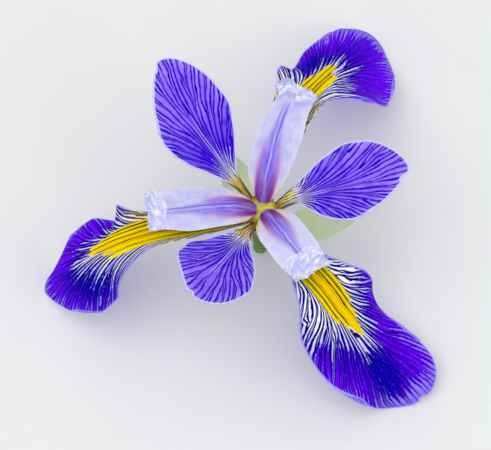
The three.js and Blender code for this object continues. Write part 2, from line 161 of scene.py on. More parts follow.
# Standards: narrow channelled claws that widen into erect blades. The white base ends at a share of
# the length. Shade_band is the strength of a darker band of painted shade beyond it, and midrib_end is
# the share where the pale midrib lines start to fade
STANDARD_BASE = {"radius": 2.8, "height": 23.8}
STANDARD_CURL = [(0, 50), (0.3, 25), (1, 8)]
STANDARD_WHITE = 0.32
STANDARDS = {
    "standard_upper_left": {
        "seat": 133, "azimuth": 131.3, "length": 42.7,
        "slope": [(0, 35), (0.3, 32), (0.6, 33), (1, 24)],
        "turn": [(0, 0), (0.5, 2), (1, -16)],
        "left": [(0, 1.1), (0.12, 0.9), (0.2, 2.1), (0.3, 4.1), (0.45, 7.7), (0.6, 9.3), (0.74, 7)],
        "right": [(0, 1.1), (0.12, 1.2), (0.2, 1.4), (0.3, 3.8), (0.45, 7.9), (0.6, 10.4), (0.74, 9.8)],
        "tip": {"start": 0.74, "roundness": 1.4, "blend": 3, "skew": -0.43},
        "notch": {"depth": 0.8, "at": 0.16, "width": 0.06},
        "deep": 0.7, "midrib_end": 0.5,
    },
    "standard_right": {
        "seat": 14, "azimuth": 16.7, "length": 37.5,
        "slope": [(0, 43), (0.3, 34), (0.6, 29), (1, 23)],
        "turn": [(0, 0), (0.5, -17), (1, -3)],
        "left": [(0, 1.1), (0.12, 2.2), (0.2, 3.2), (0.3, 5.2), (0.45, 8.6), (0.6, 10.6), (0.74, 10.1)],
        "right": [(0, 1.1), (0.12, 0.9), (0.2, 1.1), (0.3, 4), (0.45, 7.6), (0.6, 9.2), (0.74, 7.3)],
        "tip": {"start": 0.74, "roundness": 1.35, "blend": 3, "skew": 0.34},
        "notch": {"depth": 1.2, "at": -0.21, "width": 0.07},
        "deep": 0.25, "midrib_end": 0.36,
    },
    "standard_lower_left": {
        "seat": 249, "azimuth": 238.7, "length": 44.4,
        "slope": [(0, 39), (0.3, 46), (0.6, 48), (1, 41)],
        "turn": [(0, 0), (0.5, 6), (1, -7)],
        "left": [(0, 1.1), (0.12, 0.9), (0.2, 2), (0.3, 3.4), (0.45, 6.3), (0.6, 8.6), (0.74, 10.1)],
        "right": [(0, 1.1), (0.12, 1.8), (0.2, 3), (0.3, 4.5), (0.45, 6.8), (0.6, 9.2), (0.74, 9.2)],
        "tip": {"start": 0.74, "roundness": 1.57, "blend": 3, "skew": 0.4},
        "notch": {"depth": 1, "at": 0.03, "width": 0.07},
        "deep": 0.2, "midrib_end": 0.65,
    },
}

# Style arms: petal-like arms over the falls. Each ends in an upturned crest that starts at a share of
# the length, has a peak on its left half and slants back from there to the left margin. Steps: how far
# its start moves outwards, from left to right, before it jumps back at the next step. Its fold, raised a
# little and painted with a highlight, has a place from that start, a width and a strength. Pale: the
# least share of the palest ground, set higher on the lower arm to paint light on it
STYLE_BASE = {"radius": 0.7, "height": 27.8}
STYLE_CURL = [(0, -20), (0.2, -34), (0.7, -34), (0.9, -10), (1, 0)]
STYLE_TIP = {"start": 0.96, "roundness": 8, "blend": 6}
CREST_STEP = {"from": 3.3, "width": 4.6}
CREST_CLEFT = {"depth": 0.5, "at": 0.1, "width": 0.1}
CREST_PEAK = {"at": 0.42, "width": 0.16}
CREST_TEETH = 0.16
STYLE_ARMS = {
    "style_arm_left": {
        "azimuth": 184.5, "length": 29.7,
        "slope": [(0, 32), (0.3, 25), (0.6, 15), (0.84, 14), (0.92, 41), (1, 65)],
        "turn": [(0, 0), (0.5, 9), (1, 2)],
        "left": [(0, 0.6), (0.05, 1.9), (0.12, 3.4), (0.3, 4.5), (0.6, 5.1), (0.85, 4.2), (0.96, 5.2)],
        "right": [(0, 0.5), (0.05, 1.6), (0.12, 3.8), (0.3, 6.1), (0.6, 6.8), (0.85, 5.8), (0.96, 4.3)],
        "crest": {"start": 0.82, "peak": 0.2, "slant": 0.5, "steps": 0},
        "fold_highlight": {"at": 0, "width": 0.36, "strength": 1},
        "pale": 0.1,
    },
    "style_arm_upper": {
        "azimuth": 81.5, "length": 31.2,
        "slope": [(0, 30), (0.3, 24), (0.6, 16), (0.84, 15), (0.92, 42), (1, 65)],
        "turn": [(0, 0), (0.4, -5), (1, -24)],
        "left": [(0, 0.5), (0.05, 1.5), (0.12, 3.3), (0.3, 5.2), (0.6, 4.8), (0.85, 3.3), (0.96, 5.6)],
        "right": [(0, 0.6), (0.05, 1.9), (0.12, 3.6), (0.3, 5.4), (0.6, 6.5), (0.85, 5.6), (0.96, 5.8)],
        "crest": {"start": 0.87, "peak": 1.5, "slant": 2, "steps": 1.5},
        "fold_highlight": {"at": 0.6, "width": 0.55, "strength": 1.5},
        "pale": 0.05,
    },
    "style_arm_lower": {
        "azimuth": 306, "length": 24.8,
        "slope": [(0, 31), (0.3, 24), (0.6, 16), (0.84, 15), (0.92, 42), (1, 65)],
        "turn": [(0, 0), (0.5, -5), (1, -5)],
        "left": [(0, 0.6), (0.05, 2), (0.12, 4.6), (0.3, 5.8), (0.6, 5.8), (0.85, 4.8), (0.96, 4.9)],
        "right": [(0, 0.6), (0.05, 2), (0.12, 4.4), (0.3, 5.6), (0.6, 5.6), (0.85, 4.8), (0.96, 4.9)],
        "crest": {"start": 0.68, "peak": 0.2, "slant": 0.3, "steps": 0},
        "fold_highlight": {"at": 0, "width": 0.3, "strength": 1},
        # The lower arm's high share paints light on it
        "pale": 0.8,
    },
}

# The violet band of a style arm along its length: half width, strength, and strength of its edges
BAND_WIDTH = [(0, 0.8), (0.05, 1.6), (0.12, 2), (0.3, 2.3), (0.45, 1.9), (0.7, 1), (1, 0.6)]
BAND_FADE = [(0, 1), (0.3, 0.9), (0.45, 0.7), (0.6, 0.5), (0.8, 0.25), (0.9, 0), (1, 0)]
BAND_EDGE_FADE = [(0, 0.9), (0.12, 0.85), (0.25, 0.6), (0.42, 0.3), (0.6, 0), (1, 0)]

# Stamens: each follows the gap between its fall and its style arm
FILAMENT_RADIUS = 0.45
FILAMENT_START = 0.06
STAMEN_LEVEL = 0.36
ANTHER_RADIUS = 0.75
ANTHER_RANGE = (0.5, 0.8)
STAMENS = {
    "stamen_left": ("fall_left", "style_arm_left"),
    "stamen_upper": ("fall_upper", "style_arm_upper"),
    "stamen_lower": ("fall_lower", "style_arm_lower"),
}

# Spathes: two boat-shaped green bracts below the flower, alike on both sides
SPATHE_BASE = {"radius": 3.3, "height": 3.2}
SPATHE_CURL = [(0, 62), (0.5, 50), (1, 40)]
SPATHE_THICKNESS = 0.4
SPATHE_TIP = {"start": 0.7, "roundness": 1.3, "blend": 3}
SPATHES = {
    "spathe_outer": {
        "azimuth": 356, "length": 29,
        "slope": [(0, 64), (0.3, 52), (0.7, 40), (1, 32)],
        "sides": [(0, 2.4), (0.2, 3.8), (0.5, 5.6), (0.7, 5)],
    },
    "spathe_inner": {
        "azimuth": 118, "length": 25,
        "slope": [(0, 64), (0.3, 54), (0.7, 44), (1, 38)],
        "sides": [(0, 2.4), (0.2, 3.6), (0.5, 5), (0.7, 4.4)],
    },
}

# Guide veins of one side of a petal, from the outside in, as their distance from the midrib along the
# length. Their order never changes. The vein number grows by 2 from each guide to the next, and by 1
# from the last one to the midrib, and veins run at its whole numbers
OUTER_GUIDE = [(0, 1.5), (0.1, 3), (0.2, 4.6), (0.27, 7), (0.31, 12), (0.34, 17), (1, 18)]
MIDRIB = [(0, 0), (1, 0)]
FALL_GUIDES_LEFT = [
    OUTER_GUIDE,
    [(0, 1.2), (0.12, 2.3), (0.21, 3.2), (0.27, 4.6), (0.32, 8), (0.35, 13), (0.4, 17), (1, 17.8)],
    [(0, 1), (0.15, 2.2), (0.26, 3.2), (0.32, 4.6), (0.365, 8), (0.41, 13), (0.46, 16.5), (1, 17.6)],
    [(0, 0.8), (0.2, 2.4), (0.32, 3.2), (0.385, 4), (0.445, 6.5), (0.5, 9.5), (0.56, 14),
     (0.62, 16.5), (1, 17.4)],
    [(0, 0.6), (0.27, 2.7), (0.39, 3.2), (0.425, 3.7), (0.5, 6), (0.59, 10), (0.65, 13),
     (0.72, 15.8), (1, 17.2)],
    [(0, 0.5), (0.3, 2.3), (0.44, 2.6), (0.515, 4), (0.56, 5.5), (0.62, 8), (0.7, 12), (0.78, 15), (1, 16.8)],
    [(0, 0.4), (0.3, 1.9), (0.485, 2.2), (0.575, 3.5), (0.65, 5.5), (0.725, 7.5), (0.83, 11), (1, 14)],
    [(0, 0.3), (0.36, 1.3), (0.53, 1.4), (0.62, 2.5), (0.7, 4), (0.76, 5), (0.88, 7.6), (1, 9.5)],
    [(0, 0.15), (0.4, 0.7), (0.56, 0.9), (0.65, 1.5), (0.76, 2.2), (0.88, 3.6), (1, 4.6)],
    MIDRIB,
]
FALL_GUIDES_RIGHT = [
    OUTER_GUIDE,
    [(0, 1.2), (0.12, 2.3), (0.21, 3), (0.27, 4.3), (0.32, 7.2), (0.36, 13), (0.4, 17), (1, 17.8)],
    [(0, 1), (0.15, 2.2), (0.26, 3.1), (0.32, 3.5), (0.365, 4.6), (0.415, 6.5), (0.47, 11.5),
     (0.55, 17), (1, 17.7)],
    [(0, 0.8), (0.2, 2.4), (0.33, 3.1), (0.395, 3.5), (0.44, 5), (0.47, 7), (0.5, 10.5),
     (0.6, 16.6), (1, 17.5)],
    [(0, 0.7), (0.27, 2.7), (0.39, 3.2), (0.425, 3.45), (0.477, 5), (0.522, 8), (0.56, 12),
     (0.66, 16.8), (1, 17.3)],
    [(0, 0.55), (0.3, 2.5), (0.43, 3), (0.47, 3.3), (0.53, 4.5), (0.575, 7), (0.62, 10), (0.73, 16), (1, 17)],
    [(0, 0.45), (0.3, 2), (0.44, 2.4), (0.507, 2.8), (0.56, 3.7), (0.62, 5.5), (0.665, 8),
     (0.74, 11), (1, 16)],
    [(0, 0.3), (0.36, 1.5), (0.515, 2), (0.575, 2.7), (0.65, 4), (0.71, 6), (0.8, 8.5), (1, 12.5)],
    [(0, 0.15), (0.4, 0.9), (0.545, 1.5), (0.605, 2), (0.68, 2.7), (0.79, 4), (0.91, 5.6), (1, 6.5)],
    MIDRIB,
]
STANDARD_GUIDES = [
    [(0, 1.4), (0.12, 1.5), (0.17, 2.2), (0.2, 3.6), (0.23, 7), (0.26, 13), (1, 15)],
    [(0, 1.2), (0.15, 1.2), (0.2, 2), (0.25, 3.8), (0.3, 7.5), (0.35, 13), (1, 14.8)],
    [(0, 1), (0.15, 0.95), (0.22, 1.6), (0.3, 3.4), (0.37, 6.4), (0.44, 11), (0.5, 14), (1, 14.6)],
    [(0, 0.8), (0.15, 0.75), (0.25, 1.3), (0.35, 2.9), (0.45, 5.7), (0.55, 9.6), (0.65, 13.5), (1, 14.4)],
    [(0, 0.6), (0.2, 0.65), (0.3, 1.1), (0.42, 2.5), (0.55, 5.1), (0.68, 8.6), (0.8, 12), (1, 14)],
    [(0, 0.4), (0.2, 0.42), (0.4, 1), (0.55, 2.2), (0.7, 4.3), (0.85, 6.9), (1, 9.5)],
    [(0, 0.2), (0.3, 0.3), (0.5, 0.7), (0.7, 1.5), (0.85, 2.3), (1, 3.2)],
    MIDRIB,
]

# Marks of each fall, on the flattened petal. Shift: how much later than the guides its veins leave,
# as a share of the length. Veins, haft: for the left and right side, the factor on the number of
# veins, and the share where the haft's cream ground ends. Margin: how far the pale fringe reaches in.
# Far_veins: strength of the veins far from the white zone. Signal: the yellow fingers from left to
# right, each with its left edge, right edge and end. White: reach of the white zone to each side,
# along the petal. Shade_patches: soft patches of painted shade on the blade; pale: soft paler patches.
# Each patch has a place, a size and a strength
FALL_MARKS = {
    "fall_left": {
        "shift": 0.03, "veins": (0.9, 0.7), "haft": (0.42, 0.48), "margin": -0.2, "far_veins": 0.55,
        "signal": [
            (3.8, 2.2, 37.4), (2.2, 0.3, 39.8), (0.3, -1.2, 45),
            (-1.2, -2.4, 44.6), (-2.4, -3.2, 41), (-3.2, -4, 38),
        ],
        "white_left": [(22, 13), (33, 9.5), (37, 7), (42, 4.6), (46, 2.8), (49, 1), (50, 0)],
        "white_right": [(22, 14), (32, 11), (35, 6.5), (39, 4.6), (44, 3.6), (48, 2), (50, 0)],
        "dark": [((43, 8), (10, 5), 1), ((51, 2), (9, 5), 0.7)],
        "pale": [((75, 3), (8, 15), 0.7)],
    },
    "fall_upper": {
        "shift": 0.02, "veins": (0.9, 0.6), "haft": (0.42, 0.42), "margin": 1, "far_veins": 0.3,
        "signal": [(3.2, 2.2, 38.5), (2.2, 0.9, 47), (0.9, -0.3, 48.2), (-0.3, -1, 44.6), (-1, -2.8, 43.4)],
        "white_left": [(24, 14), (33, 10), (35.5, 6), (38, 4), (43, 3), (48, 1.8), (51, 0)],
        "white_right": [(24, 12), (33, 10), (37, 8), (42, 6), (46, 4.2), (50, 2.2), (52, 0)],
        "dark": [((44, 6), (9, 4.5), 1), ((57, -1), (12, 4), 0.6)],
        "pale": [((78, 0), (13, 15), 1), ((38, -12.5), (3, 2), 0.8)],
    },
    "fall_lower": {
        "shift": 0, "veins": (0.92, 0.92), "haft": (0.31, 0.31), "margin": 0.9, "far_veins": 0.7,
        "signal": [
            (3.6, 2.4, 32.2), (2.4, 1.4, 36.8), (1.4, -1.1, 41.4), (-1.1, -2.1, 37.6), (-2.1, -3.3, 34.4),
        ],
        "white_left": [(18, 15), (27, 11.5), (31, 8.5), (35, 6.5), (38.5, 4.8), (42, 3), (44.8, 0)],
        "white_right": [(18, 16), (30, 14), (34, 11), (37, 8), (40.5, 5.2), (43, 3), (44.8, 0)],
        "dark": [((50, -2.5), (9, 5), 1), ((57, -4), (7, 5), 0.6), ((40, -9), (7, 4), 0.5)],
        "pale": [((69, 0), (8, 15), 1)],
    },
}


def srgb(red, green, blue):
    """A colour of the screen, 0 to 255, as the linear values that shaders use."""
    shares = (c / 255 for c in (red, green, blue))
    return tuple(c / 12.92 if c <= 0.04045 else ((c + 0.055) / 1.055) ** 2.4 for c in shares)


def length(description, default_mm):
    """A length property, stored in metres, with its default given in millimetres."""
    return FloatProperty(description=description, default=default_mm * MM, min=0, precision=5, unit="LENGTH")


def colour(description, *rgb):
    """A colour property with its default given as screen values."""
    return FloatVectorProperty(
        description=description, default=srgb(*rgb), size=3, min=0, max=1, subtype="COLOR"
    )


class IrisSizes(bpy.types.PropertyGroup):
    """Sizes that change the flower's finish."""

    fall_thickness: length("Thickness of a fall's blade", 0.42)
    standard_thickness: length("Thickness of a standard's blade", 0.36)
    arm_thickness: length("Thickness of a style arm", 0.5)
    ruffle: length("Height of the waves along a fall's margin", 0.2)
    vein_width: length("Width of a main vein on a fall", 0.7)
    rim_width: length("Width of the pale rim of falls and standards", 0.5)


class IrisColours(bpy.types.PropertyGroup):
    """Colours of the flower."""

    signal: colour("Yellow fingers of a fall", 255, 234, 0)
    signal_deep: colour("Deeper yellow of the signal", 250, 190, 4)
    signal_spot: colour("Orange dots on the signal", 228, 138, 0)
    signal_line: colour("Dark lines on the signal", 78, 38, 2)
    white: colour("Ground between the veins round the signal", 250, 251, 246)
    white_outer: colour("Tips of the white streaks", 204, 200, 250)
    haft: colour("Cream ground of the haft", 240, 228, 172)
    haft_vein: colour("Brown veins of the haft", 72, 26, 50)
    blade: colour("Violet of a fall's blade", 112, 3, 255)
    # Painted glints: the light specks on a fall's blade
    blade_glint: colour("Light specks on a fall's blade", 150, 110, 252)
    # Also the colour of the painted shade patches on the blade
    blade_dark: colour("Deepest part of a fall's blade", 14, 1, 178)
    blade_pale: colour("Paler ends and margins of a fall", 150, 130, 238)
    vein: colour("Veins of a fall", 4, 0, 126)
    vein_inner: colour("Veins beside the signal", 34, 2, 96)
    rim: colour("Thin rim of a fall", 176, 166, 252)
    standard: colour("Ground of a standard", 146, 102, 252)
    standard_pale: colour("Paler strips and margins of a standard", 172, 146, 255)
    # Also the colour of the standards' band of painted shade
    standard_deep: colour("Deeper parts of a standard", 78, 18, 222)
    standard_vein: colour("Veins of a standard", 50, 0, 192)
    standard_rim: colour("Thin pale rim of a standard", 228, 228, 255)
    claw: colour("Ground of a standard's claw", 240, 220, 104)
    claw_line: colour("Maroon lines on a standard's claw", 92, 26, 40)
    arm: colour("Ground of a style arm", 184, 182, 230)
    arm_pale: colour("Palest parts of a style arm", 220, 220, 244)
    arm_shade: colour("Faint violet fibres of a style arm", 170, 162, 230)
    arm_blush: colour("Pinkish white of a style arm near its base", 236, 222, 230)
    arm_line: colour("Dark line along a style arm", 98, 54, 204)
    arm_band: colour("Violet band along a style arm", 124, 86, 232)
    arm_edge: colour("Magenta edges of that band", 178, 66, 166)
    arm_base: colour("Maroon base of a style arm", 112, 12, 112)
    crest: colour("Bluish lavender of a crest", 190, 196, 248)
    crest_light: colour("Palest folds of a crest", 246, 248, 255)
    # Painted highlights on the crest's folds, and the pale margins of the arms
    crest_shade: colour("Shaded hollows of a crest", 160, 164, 214)
    spathe: colour("Green of a spathe", 240, 255, 206)
    stalk: colour("Green of stalk and ovary", 104, 146, 62)
    column: colour("Yellow-olive of tube and style column", 214, 206, 76)


def settings():
    """The two groups of settings, in the current scene."""
    scene = bpy.context.scene
    return scene.iris_sizes, scene.iris_colours


# Petal shapes


def smooth(knots, t):
    """A smooth value at t through (t, value) knots, without overshoot."""
    xs, ys = np.array(knots, float).T
    gradient = np.diff(ys) / np.diff(xs)
    tangent = np.concatenate([gradient[:1], np.zeros(len(xs) - 2), gradient[-1:]])
    for i in range(1, len(xs) - 1):
        a, b = gradient[i - 1], gradient[i]
        tangent[i] = 0 if a * b <= 0 else 2 * a * b / (a + b)
    x = np.clip(np.asarray(t, float), xs[0], xs[-1])
    i = np.clip(np.searchsorted(xs, x, side="right") - 1, 0, len(xs) - 2)
    h = xs[i + 1] - xs[i]
    f = (x - xs[i]) / h
    g = 1 - f
    bend = tangent[i] * h * f * g * g - tangent[i + 1] * h * f * f * g
    return ys[i] * (1 + 2 * f) * g * g + ys[i + 1] * f * f * (3 - 2 * f) + bend


def step(low, high, value):
    """0 below low, 1 above high, and smooth between them."""
    t = np.clip((value - low) / (high - low), 0, 1)
    return t * t * (3 - 2 * t)


def bell(offset, width):
    """1 where there is no offset, fading to both sides over the width."""
    return np.exp(-((offset / width) ** 2))


def rib(across, size):
    """A rounded rib along the midrib, of the given height and half width."""
    height, width = size
    return height * bell(across, width)


def frame_at(petal, f):
    """Direction, sideways and upward vectors of a petal at shares f of its length."""
    slope = np.radians(smooth(petal["slope"], f))
    heading = np.radians(petal["azimuth"] + smooth(petal["turn"], f))
    twist = np.radians(smooth(petal["twist"], f))[..., None]
    along = np.stack([np.cos(slope) * np.cos(heading), np.cos(slope) * np.sin(heading), np.sin(slope)], -1)
    level = np.stack([-np.sin(heading), np.cos(heading), np.zeros_like(heading)], -1)
    up = np.cross(along, level)
    return along, level * np.cos(twist) + up * np.sin(twist), up * np.cos(twist) - level * np.sin(twist)


def centre_line(petal):
    """Points of a petal's centre line, in equal steps along its length."""
    seat = math.radians(petal.get("seat", petal["azimuth"]))
    start = np.array([[petal["radius"] * math.cos(seat), petal["radius"] * math.sin(seat), petal["height"]]])
    along = frame_at(petal, np.linspace(0, 1, STEPS + 1))[0]
    paces = (along[1:] + along[:-1]) / 2 * petal["length"] / STEPS
    return np.concatenate([start, start + np.cumsum(paces, 0)])


def point_on(line, f):
    """Points on a centre line at shares f of its length."""
    at = np.clip(f, 0, 1) * STEPS
    return np.stack([np.interp(at, np.arange(STEPS + 1), line[:, i]) for i in range(3)], -1)


def flat_grid(petal, u, v):
    """Distance along and across the flattened petal at grid positions u and v."""
    tip = petal["tip"]
    power = tip["roundness"]
    reach = petal["length"] * (1 - tip["start"]) * (1 - np.abs(v) ** power) ** (1 / power)
    if "notch" in petal:
        notch = petal["notch"]
        reach = reach - notch["depth"] * bell(v - notch["at"], notch["width"]) * (1 - v**8)
    along = u * tip["start"] * petal["length"] + reach * (1 + tip.get("skew", 0) * v) * u ** tip["blend"]
    t = u * tip["start"]
    return along, v * np.where(v >= 0, smooth(petal["left"], t), smooth(petal["right"], t))


def place(petal, along, across):
    """Middle surface of the petal at flat positions."""
    f = along / petal["length"]
    t = np.minimum(f, petal["tip"]["start"])
    left = across >= 0
    width = np.where(left, smooth(petal["left"], t), smooth(petal["right"], t))
    curl = np.where(left, smooth(petal["curl_left"], f), smooth(petal["curl_right"], f))
    bend = np.radians(curl) / width
    bend = np.where(np.abs(bend) < 1e-6, 1e-6, bend)
    _, side, normal = frame_at(petal, f)
    sideways = np.sin(bend * across) / bend
    upwards = (1 - np.cos(bend * np.abs(across))) / bend
    return point_on(centre_line(petal), f) + side * sideways[..., None] + normal * upwards[..., None]


def margin_distance(petal, along, across):
    """Flat distance from each position to the petal's margin."""
    u = np.linspace(0.02, 1, 160)
    v = np.sin(np.linspace(-1, 1, 121) * math.pi / 2)
    sides = [flat_grid(petal, u, np.full_like(u, side)) for side in (1.0, -1.0)]
    sides.append(flat_grid(petal, np.ones_like(v), v))
    nearest = np.full_like(along, 1e9)
    for edge_along, edge_across in np.concatenate([np.stack(s, -1) for s in sides]):
        nearest = np.minimum(nearest, (along - edge_along) ** 2 + (across - edge_across) ** 2)
    return np.sqrt(nearest)


def vein_number(guides, share, across):
    """Number of the vein through each position, from 0 at the margin: 2 for each guide, 1 for the midrib."""
    side = np.abs(across)
    lines = [smooth(knots, share) for knots in guides]
    number = np.zeros_like(share)
    for k, (outer, inner) in enumerate(zip(lines, lines[1:])):
        part = np.clip((outer - side) / np.maximum(outer - inner, 0.02), 0, 1)
        number += part * (2 if k < len(guides) - 2 else 1)
    return number


def midrib_number(guides):
    """The number that vein_number gives on the midrib."""
    return 2 * (len(guides) - 2) + 1


def spacing(field, along, across):
    """Millimetres of petal for each unit of a field on the flat grid, evened out over a few cells."""
    (da_u, da_v), (dx_u, dx_v), (df_u, df_v) = (np.gradient(values) for values in (along, across, field))
    det = da_u * dx_v - da_v * dx_u
    det = np.where(np.abs(det) < 1e-9, 1e-9, det)
    slope = np.hypot((df_u * dx_v - df_v * dx_u) / det, (df_v * da_u - df_u * da_v) / det)
    gap = np.clip(1 / np.maximum(slope, 0.05), 0.3, 6)
    for _ in range(4):
        wide = np.pad(gap, 1, mode="edge")
        gap = (wide[:-2, 1:-1] + wide[2:, 1:-1] + wide[1:-1, :-2] + wide[1:-1, 2:] + 4 * gap) / 8
    return gap


# Meshes


def unit(vectors):
    """The vectors at length 1."""
    return vectors / np.maximum(np.linalg.norm(vectors, axis=-1, keepdims=True), 1e-9)


def surface_normals(grid):
    """Normals of a grid of points whose rows run outwards and columns from left to right."""
    return unit(np.cross(np.gradient(grid, axis=0), -np.gradient(grid, axis=1)))


def bake_grid(rows, columns, width, height):
    """Even map positions for a grid of points, from a small margin to the given width and height."""
    x, y = np.meshgrid(np.linspace(0, 1, columns), np.linspace(0, 1, rows))
    return np.stack([0.01 + width * x, 0.01 + height * y], -1)


def quads(grid):
    """The four corners of each cell of a grid of values, in order round the cell."""
    return np.stack([grid[:-1, :-1], grid[:-1, 1:], grid[1:, 1:], grid[1:, :-1]], 2)


def finish_piece(piece, node):
    """The piece stands for a CAD node, whose part it hides, and rides on the only body."""
    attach(piece, "root")
    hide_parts(node)


def add_piece(name, points, faces, corners, fields, material):
    """Adds a smooth mesh with its bake map, point fields and material, as a finished piece."""
    mesh = bpy.data.meshes.new("iris_" + name)
    in_frame = (points + np.array([AXIS_X, AXIS_Y, STALK_FOOT])) * MM
    mesh.vertices.add(len(points))
    mesh.vertices.foreach_set("co", in_frame.astype(np.float32).ravel())
    mesh.loops.add(faces.size)
    mesh.loops.foreach_set("vertex_index", faces.astype(np.int32).ravel())
    mesh.polygons.add(len(faces))
    mesh.polygons.foreach_set("loop_start", np.arange(0, faces.size, 4, dtype=np.int32))
    mesh.update(calc_edges=True)
    mesh.polygons.foreach_set("use_smooth", np.ones(len(faces), bool))
    mesh.uv_layers.new(name="OFBake").data.foreach_set("uv", corners.astype(np.float32).ravel())
    for field, values in fields.items():
        attribute = mesh.attributes.new(field, "FLOAT", "POINT")
        attribute.data.foreach_set("value", values.astype(np.float32).ravel())
    mesh.validate()
    mesh.materials.append(material)
    piece = bpy.data.objects.new("iris_" + name, mesh)
    bpy.context.scene.collection.objects.link(piece)
    finish_piece(piece, name)


def add_sheet(name, petal, along, across, lift, above, below, fields, material):
    """Adds a petal as a closed thin shell, lifted from its plain form, with thickness above and below."""
    middle = place(petal, along, across)
    middle = middle + surface_normals(middle) * lift[..., None]
    rows, columns = along.shape
    normal = surface_normals(middle)
    sides = [middle + normal * above[..., None], middle - normal * below[..., None]]
    count = rows * columns
    index = np.arange(count).reshape(rows, columns)
    top_faces = quads(index).reshape(-1, 4)
    # The rim runs once round the outline, from the top sheet to the bottom one
    loop = np.concatenate([index[:-1, 0], index[-1, :-1], index[:0:-1, -1], index[0, :0:-1]])
    following = np.roll(loop, -1)
    rim_faces = np.stack([loop, following, following + count, loop + count], -1)
    faces = np.concatenate([top_faces, top_faces[:, ::-1] + count, rim_faces])
    half_map = bake_grid(rows, columns, 0.47, 0.94).reshape(-1, 2)
    corners = np.concatenate([half_map, half_map + [0.5, 0]])[faces]
    steps = 0.01 + 0.98 * np.arange(len(loop) + 1) / len(loop)
    first = 2 * len(top_faces)
    corners[first:, :, 0] = np.stack([steps[:-1], steps[1:], steps[1:], steps[:-1]], -1)
    corners[first:, :, 1] = [0.97, 0.97, 0.985, 0.985]
    fields = {"along": along, "across": across, **fields}
    doubled = {key: np.tile(values.ravel(), 2) for key, values in fields.items()}
    doubled["under"] = np.repeat([0.0, 1.0], count)
    points = np.concatenate([side.reshape(-1, 3) for side in sides])
    add_piece(name, points, faces, corners, doubled, material)


def add_round(name, rings, fields, material):
    """Adds a closed body from rings of points whose first and last rings shrink to the axis."""
    rows, columns = rings.shape[:2]
    index = np.arange(rows * columns).reshape(rows, columns)
    faces = quads(np.concatenate([index, index[:, :1]], 1)).reshape(-1, 4)
    corners = quads(bake_grid(rows, columns + 1, 0.98, 0.98)).reshape(-1, 4, 2)
    add_piece(name, rings.reshape(-1, 3), faces, corners, fields, material)


# Shader nodes


def sum_of(operation):
    """A method that adds one maths node for a value and what it is combined with."""

    def combined(self, *others):
        return self.wires.math(operation, self, *others)

    return combined


class Value:
    """A number in a node tree, which takes part in sums as plain numbers do."""

    def __init__(self, wires, socket):
        self.wires = wires
        self.socket = socket

    def __rsub__(self, other):
        return self.wires.math("SUBTRACT", other, self)

    __add__ = sum_of("ADD")
    __sub__ = sum_of("SUBTRACT")
    __mul__ = sum_of("MULTIPLY")
    __truediv__ = sum_of("DIVIDE")
    __gt__ = sum_of("GREATER_THAN")
    __abs__ = sum_of("ABSOLUTE")
    floor = sum_of("FLOOR")
    fract = sum_of("FRACT")
    least = sum_of("MINIMUM")
    greatest = sum_of("MAXIMUM")


class Wires:
    """Adds nodes to one node tree and joins them."""

    def __init__(self, tree):
        self.tree = tree
        self.count = 0

    def add(self, kind, **choices):
        """A new node, laid out in rows of 14."""
        node = self.tree.nodes.new(kind)
        node.location = (220 * (self.count % 14), -260 * (self.count // 14))
        self.count += 1
        for key, value in choices.items():
            setattr(node, key, value)
        return node

    def feed(self, socket, value):
        """Links or sets a socket. A colour of three values gets an alpha of 1."""
        value = getattr(value, "socket", value)
        if isinstance(value, bpy.types.NodeSocket):
            self.tree.links.new(value, socket)
        elif hasattr(value, "__len__"):
            socket.default_value = tuple(value) + (1.0,) * (len(socket.default_value) - len(value))
        else:
            socket.default_value = value

    def feed_all(self, node, *values):
        for socket, value in zip(node.inputs, values):
            self.feed(socket, value)

    def result(self, node, *values):
        """The first output of a node that is fed with values."""
        self.feed_all(node, *values)
        return Value(self, node.outputs[0])

    def math(self, operation, *values):
        return self.result(self.add("ShaderNodeMath", operation=operation), *values)

    def ramp(self, value, start, end, low=0.0, high=1.0):
        """Smooth change from low to high while value goes from start to end."""
        node = self.add("ShaderNodeMapRange", interpolation_type="SMOOTHSTEP")
        return self.result(node, value, start, end, low, high)

    def mix(self, share, first, second):
        """The colour between the first and the second."""
        node = self.add("ShaderNodeMix", data_type="RGBA")
        for index, value in ((0, share), (6, first), (7, second)):
            self.feed(node.inputs[index], value)
        return node.outputs[2]

    def layers(self, ground, *coats):
        """A ground colour under coats, each with its share and its colour."""
        for share, coat in coats:
            ground = self.mix(share, ground, coat)
        return ground

    def field(self, name):
        """A point field of the mesh."""
        node = self.add("ShaderNodeAttribute", attribute_type="GEOMETRY", attribute_name=name)
        return Value(self, node.outputs["Fac"])

    def combine(self, x, y, z):
        return self.result(self.add("ShaderNodeCombineXYZ"), x, y, z)

    def noise(self, position, scale=1.0, detail=2.0):
        node = self.add("ShaderNodeTexNoise")
        for name, value in (("Vector", position), ("Scale", scale), ("Detail", detail)):
            self.feed(node.inputs[name], value)
        return Value(self, node.outputs["Fac"])

    def random(self, identity, seed):
        """A random value that stays the same for the same identity."""
        node = self.add("ShaderNodeTexWhiteNoise", noise_dimensions="2D")
        self.feed(node.inputs["Vector"], self.combine(identity, seed, 0.0))
        return Value(self, node.outputs["Value"])

    def group(self, make_tree, **values):
        """The outputs of a node group that is fed with values, each under its name in lower case."""
        node = self.add("ShaderNodeGroup", node_tree=make_tree())
        for name, value in values.items():
            self.feed(node.inputs[socket_name(name)], value)
        outputs = {socket.name.lower().replace(" ", "_"): Value(self, socket) for socket in node.outputs}
        return SimpleNamespace(**outputs)


def socket_name(key):
    """The name on a group's socket for a name in lower case."""
    return key.replace("_", " ").title()


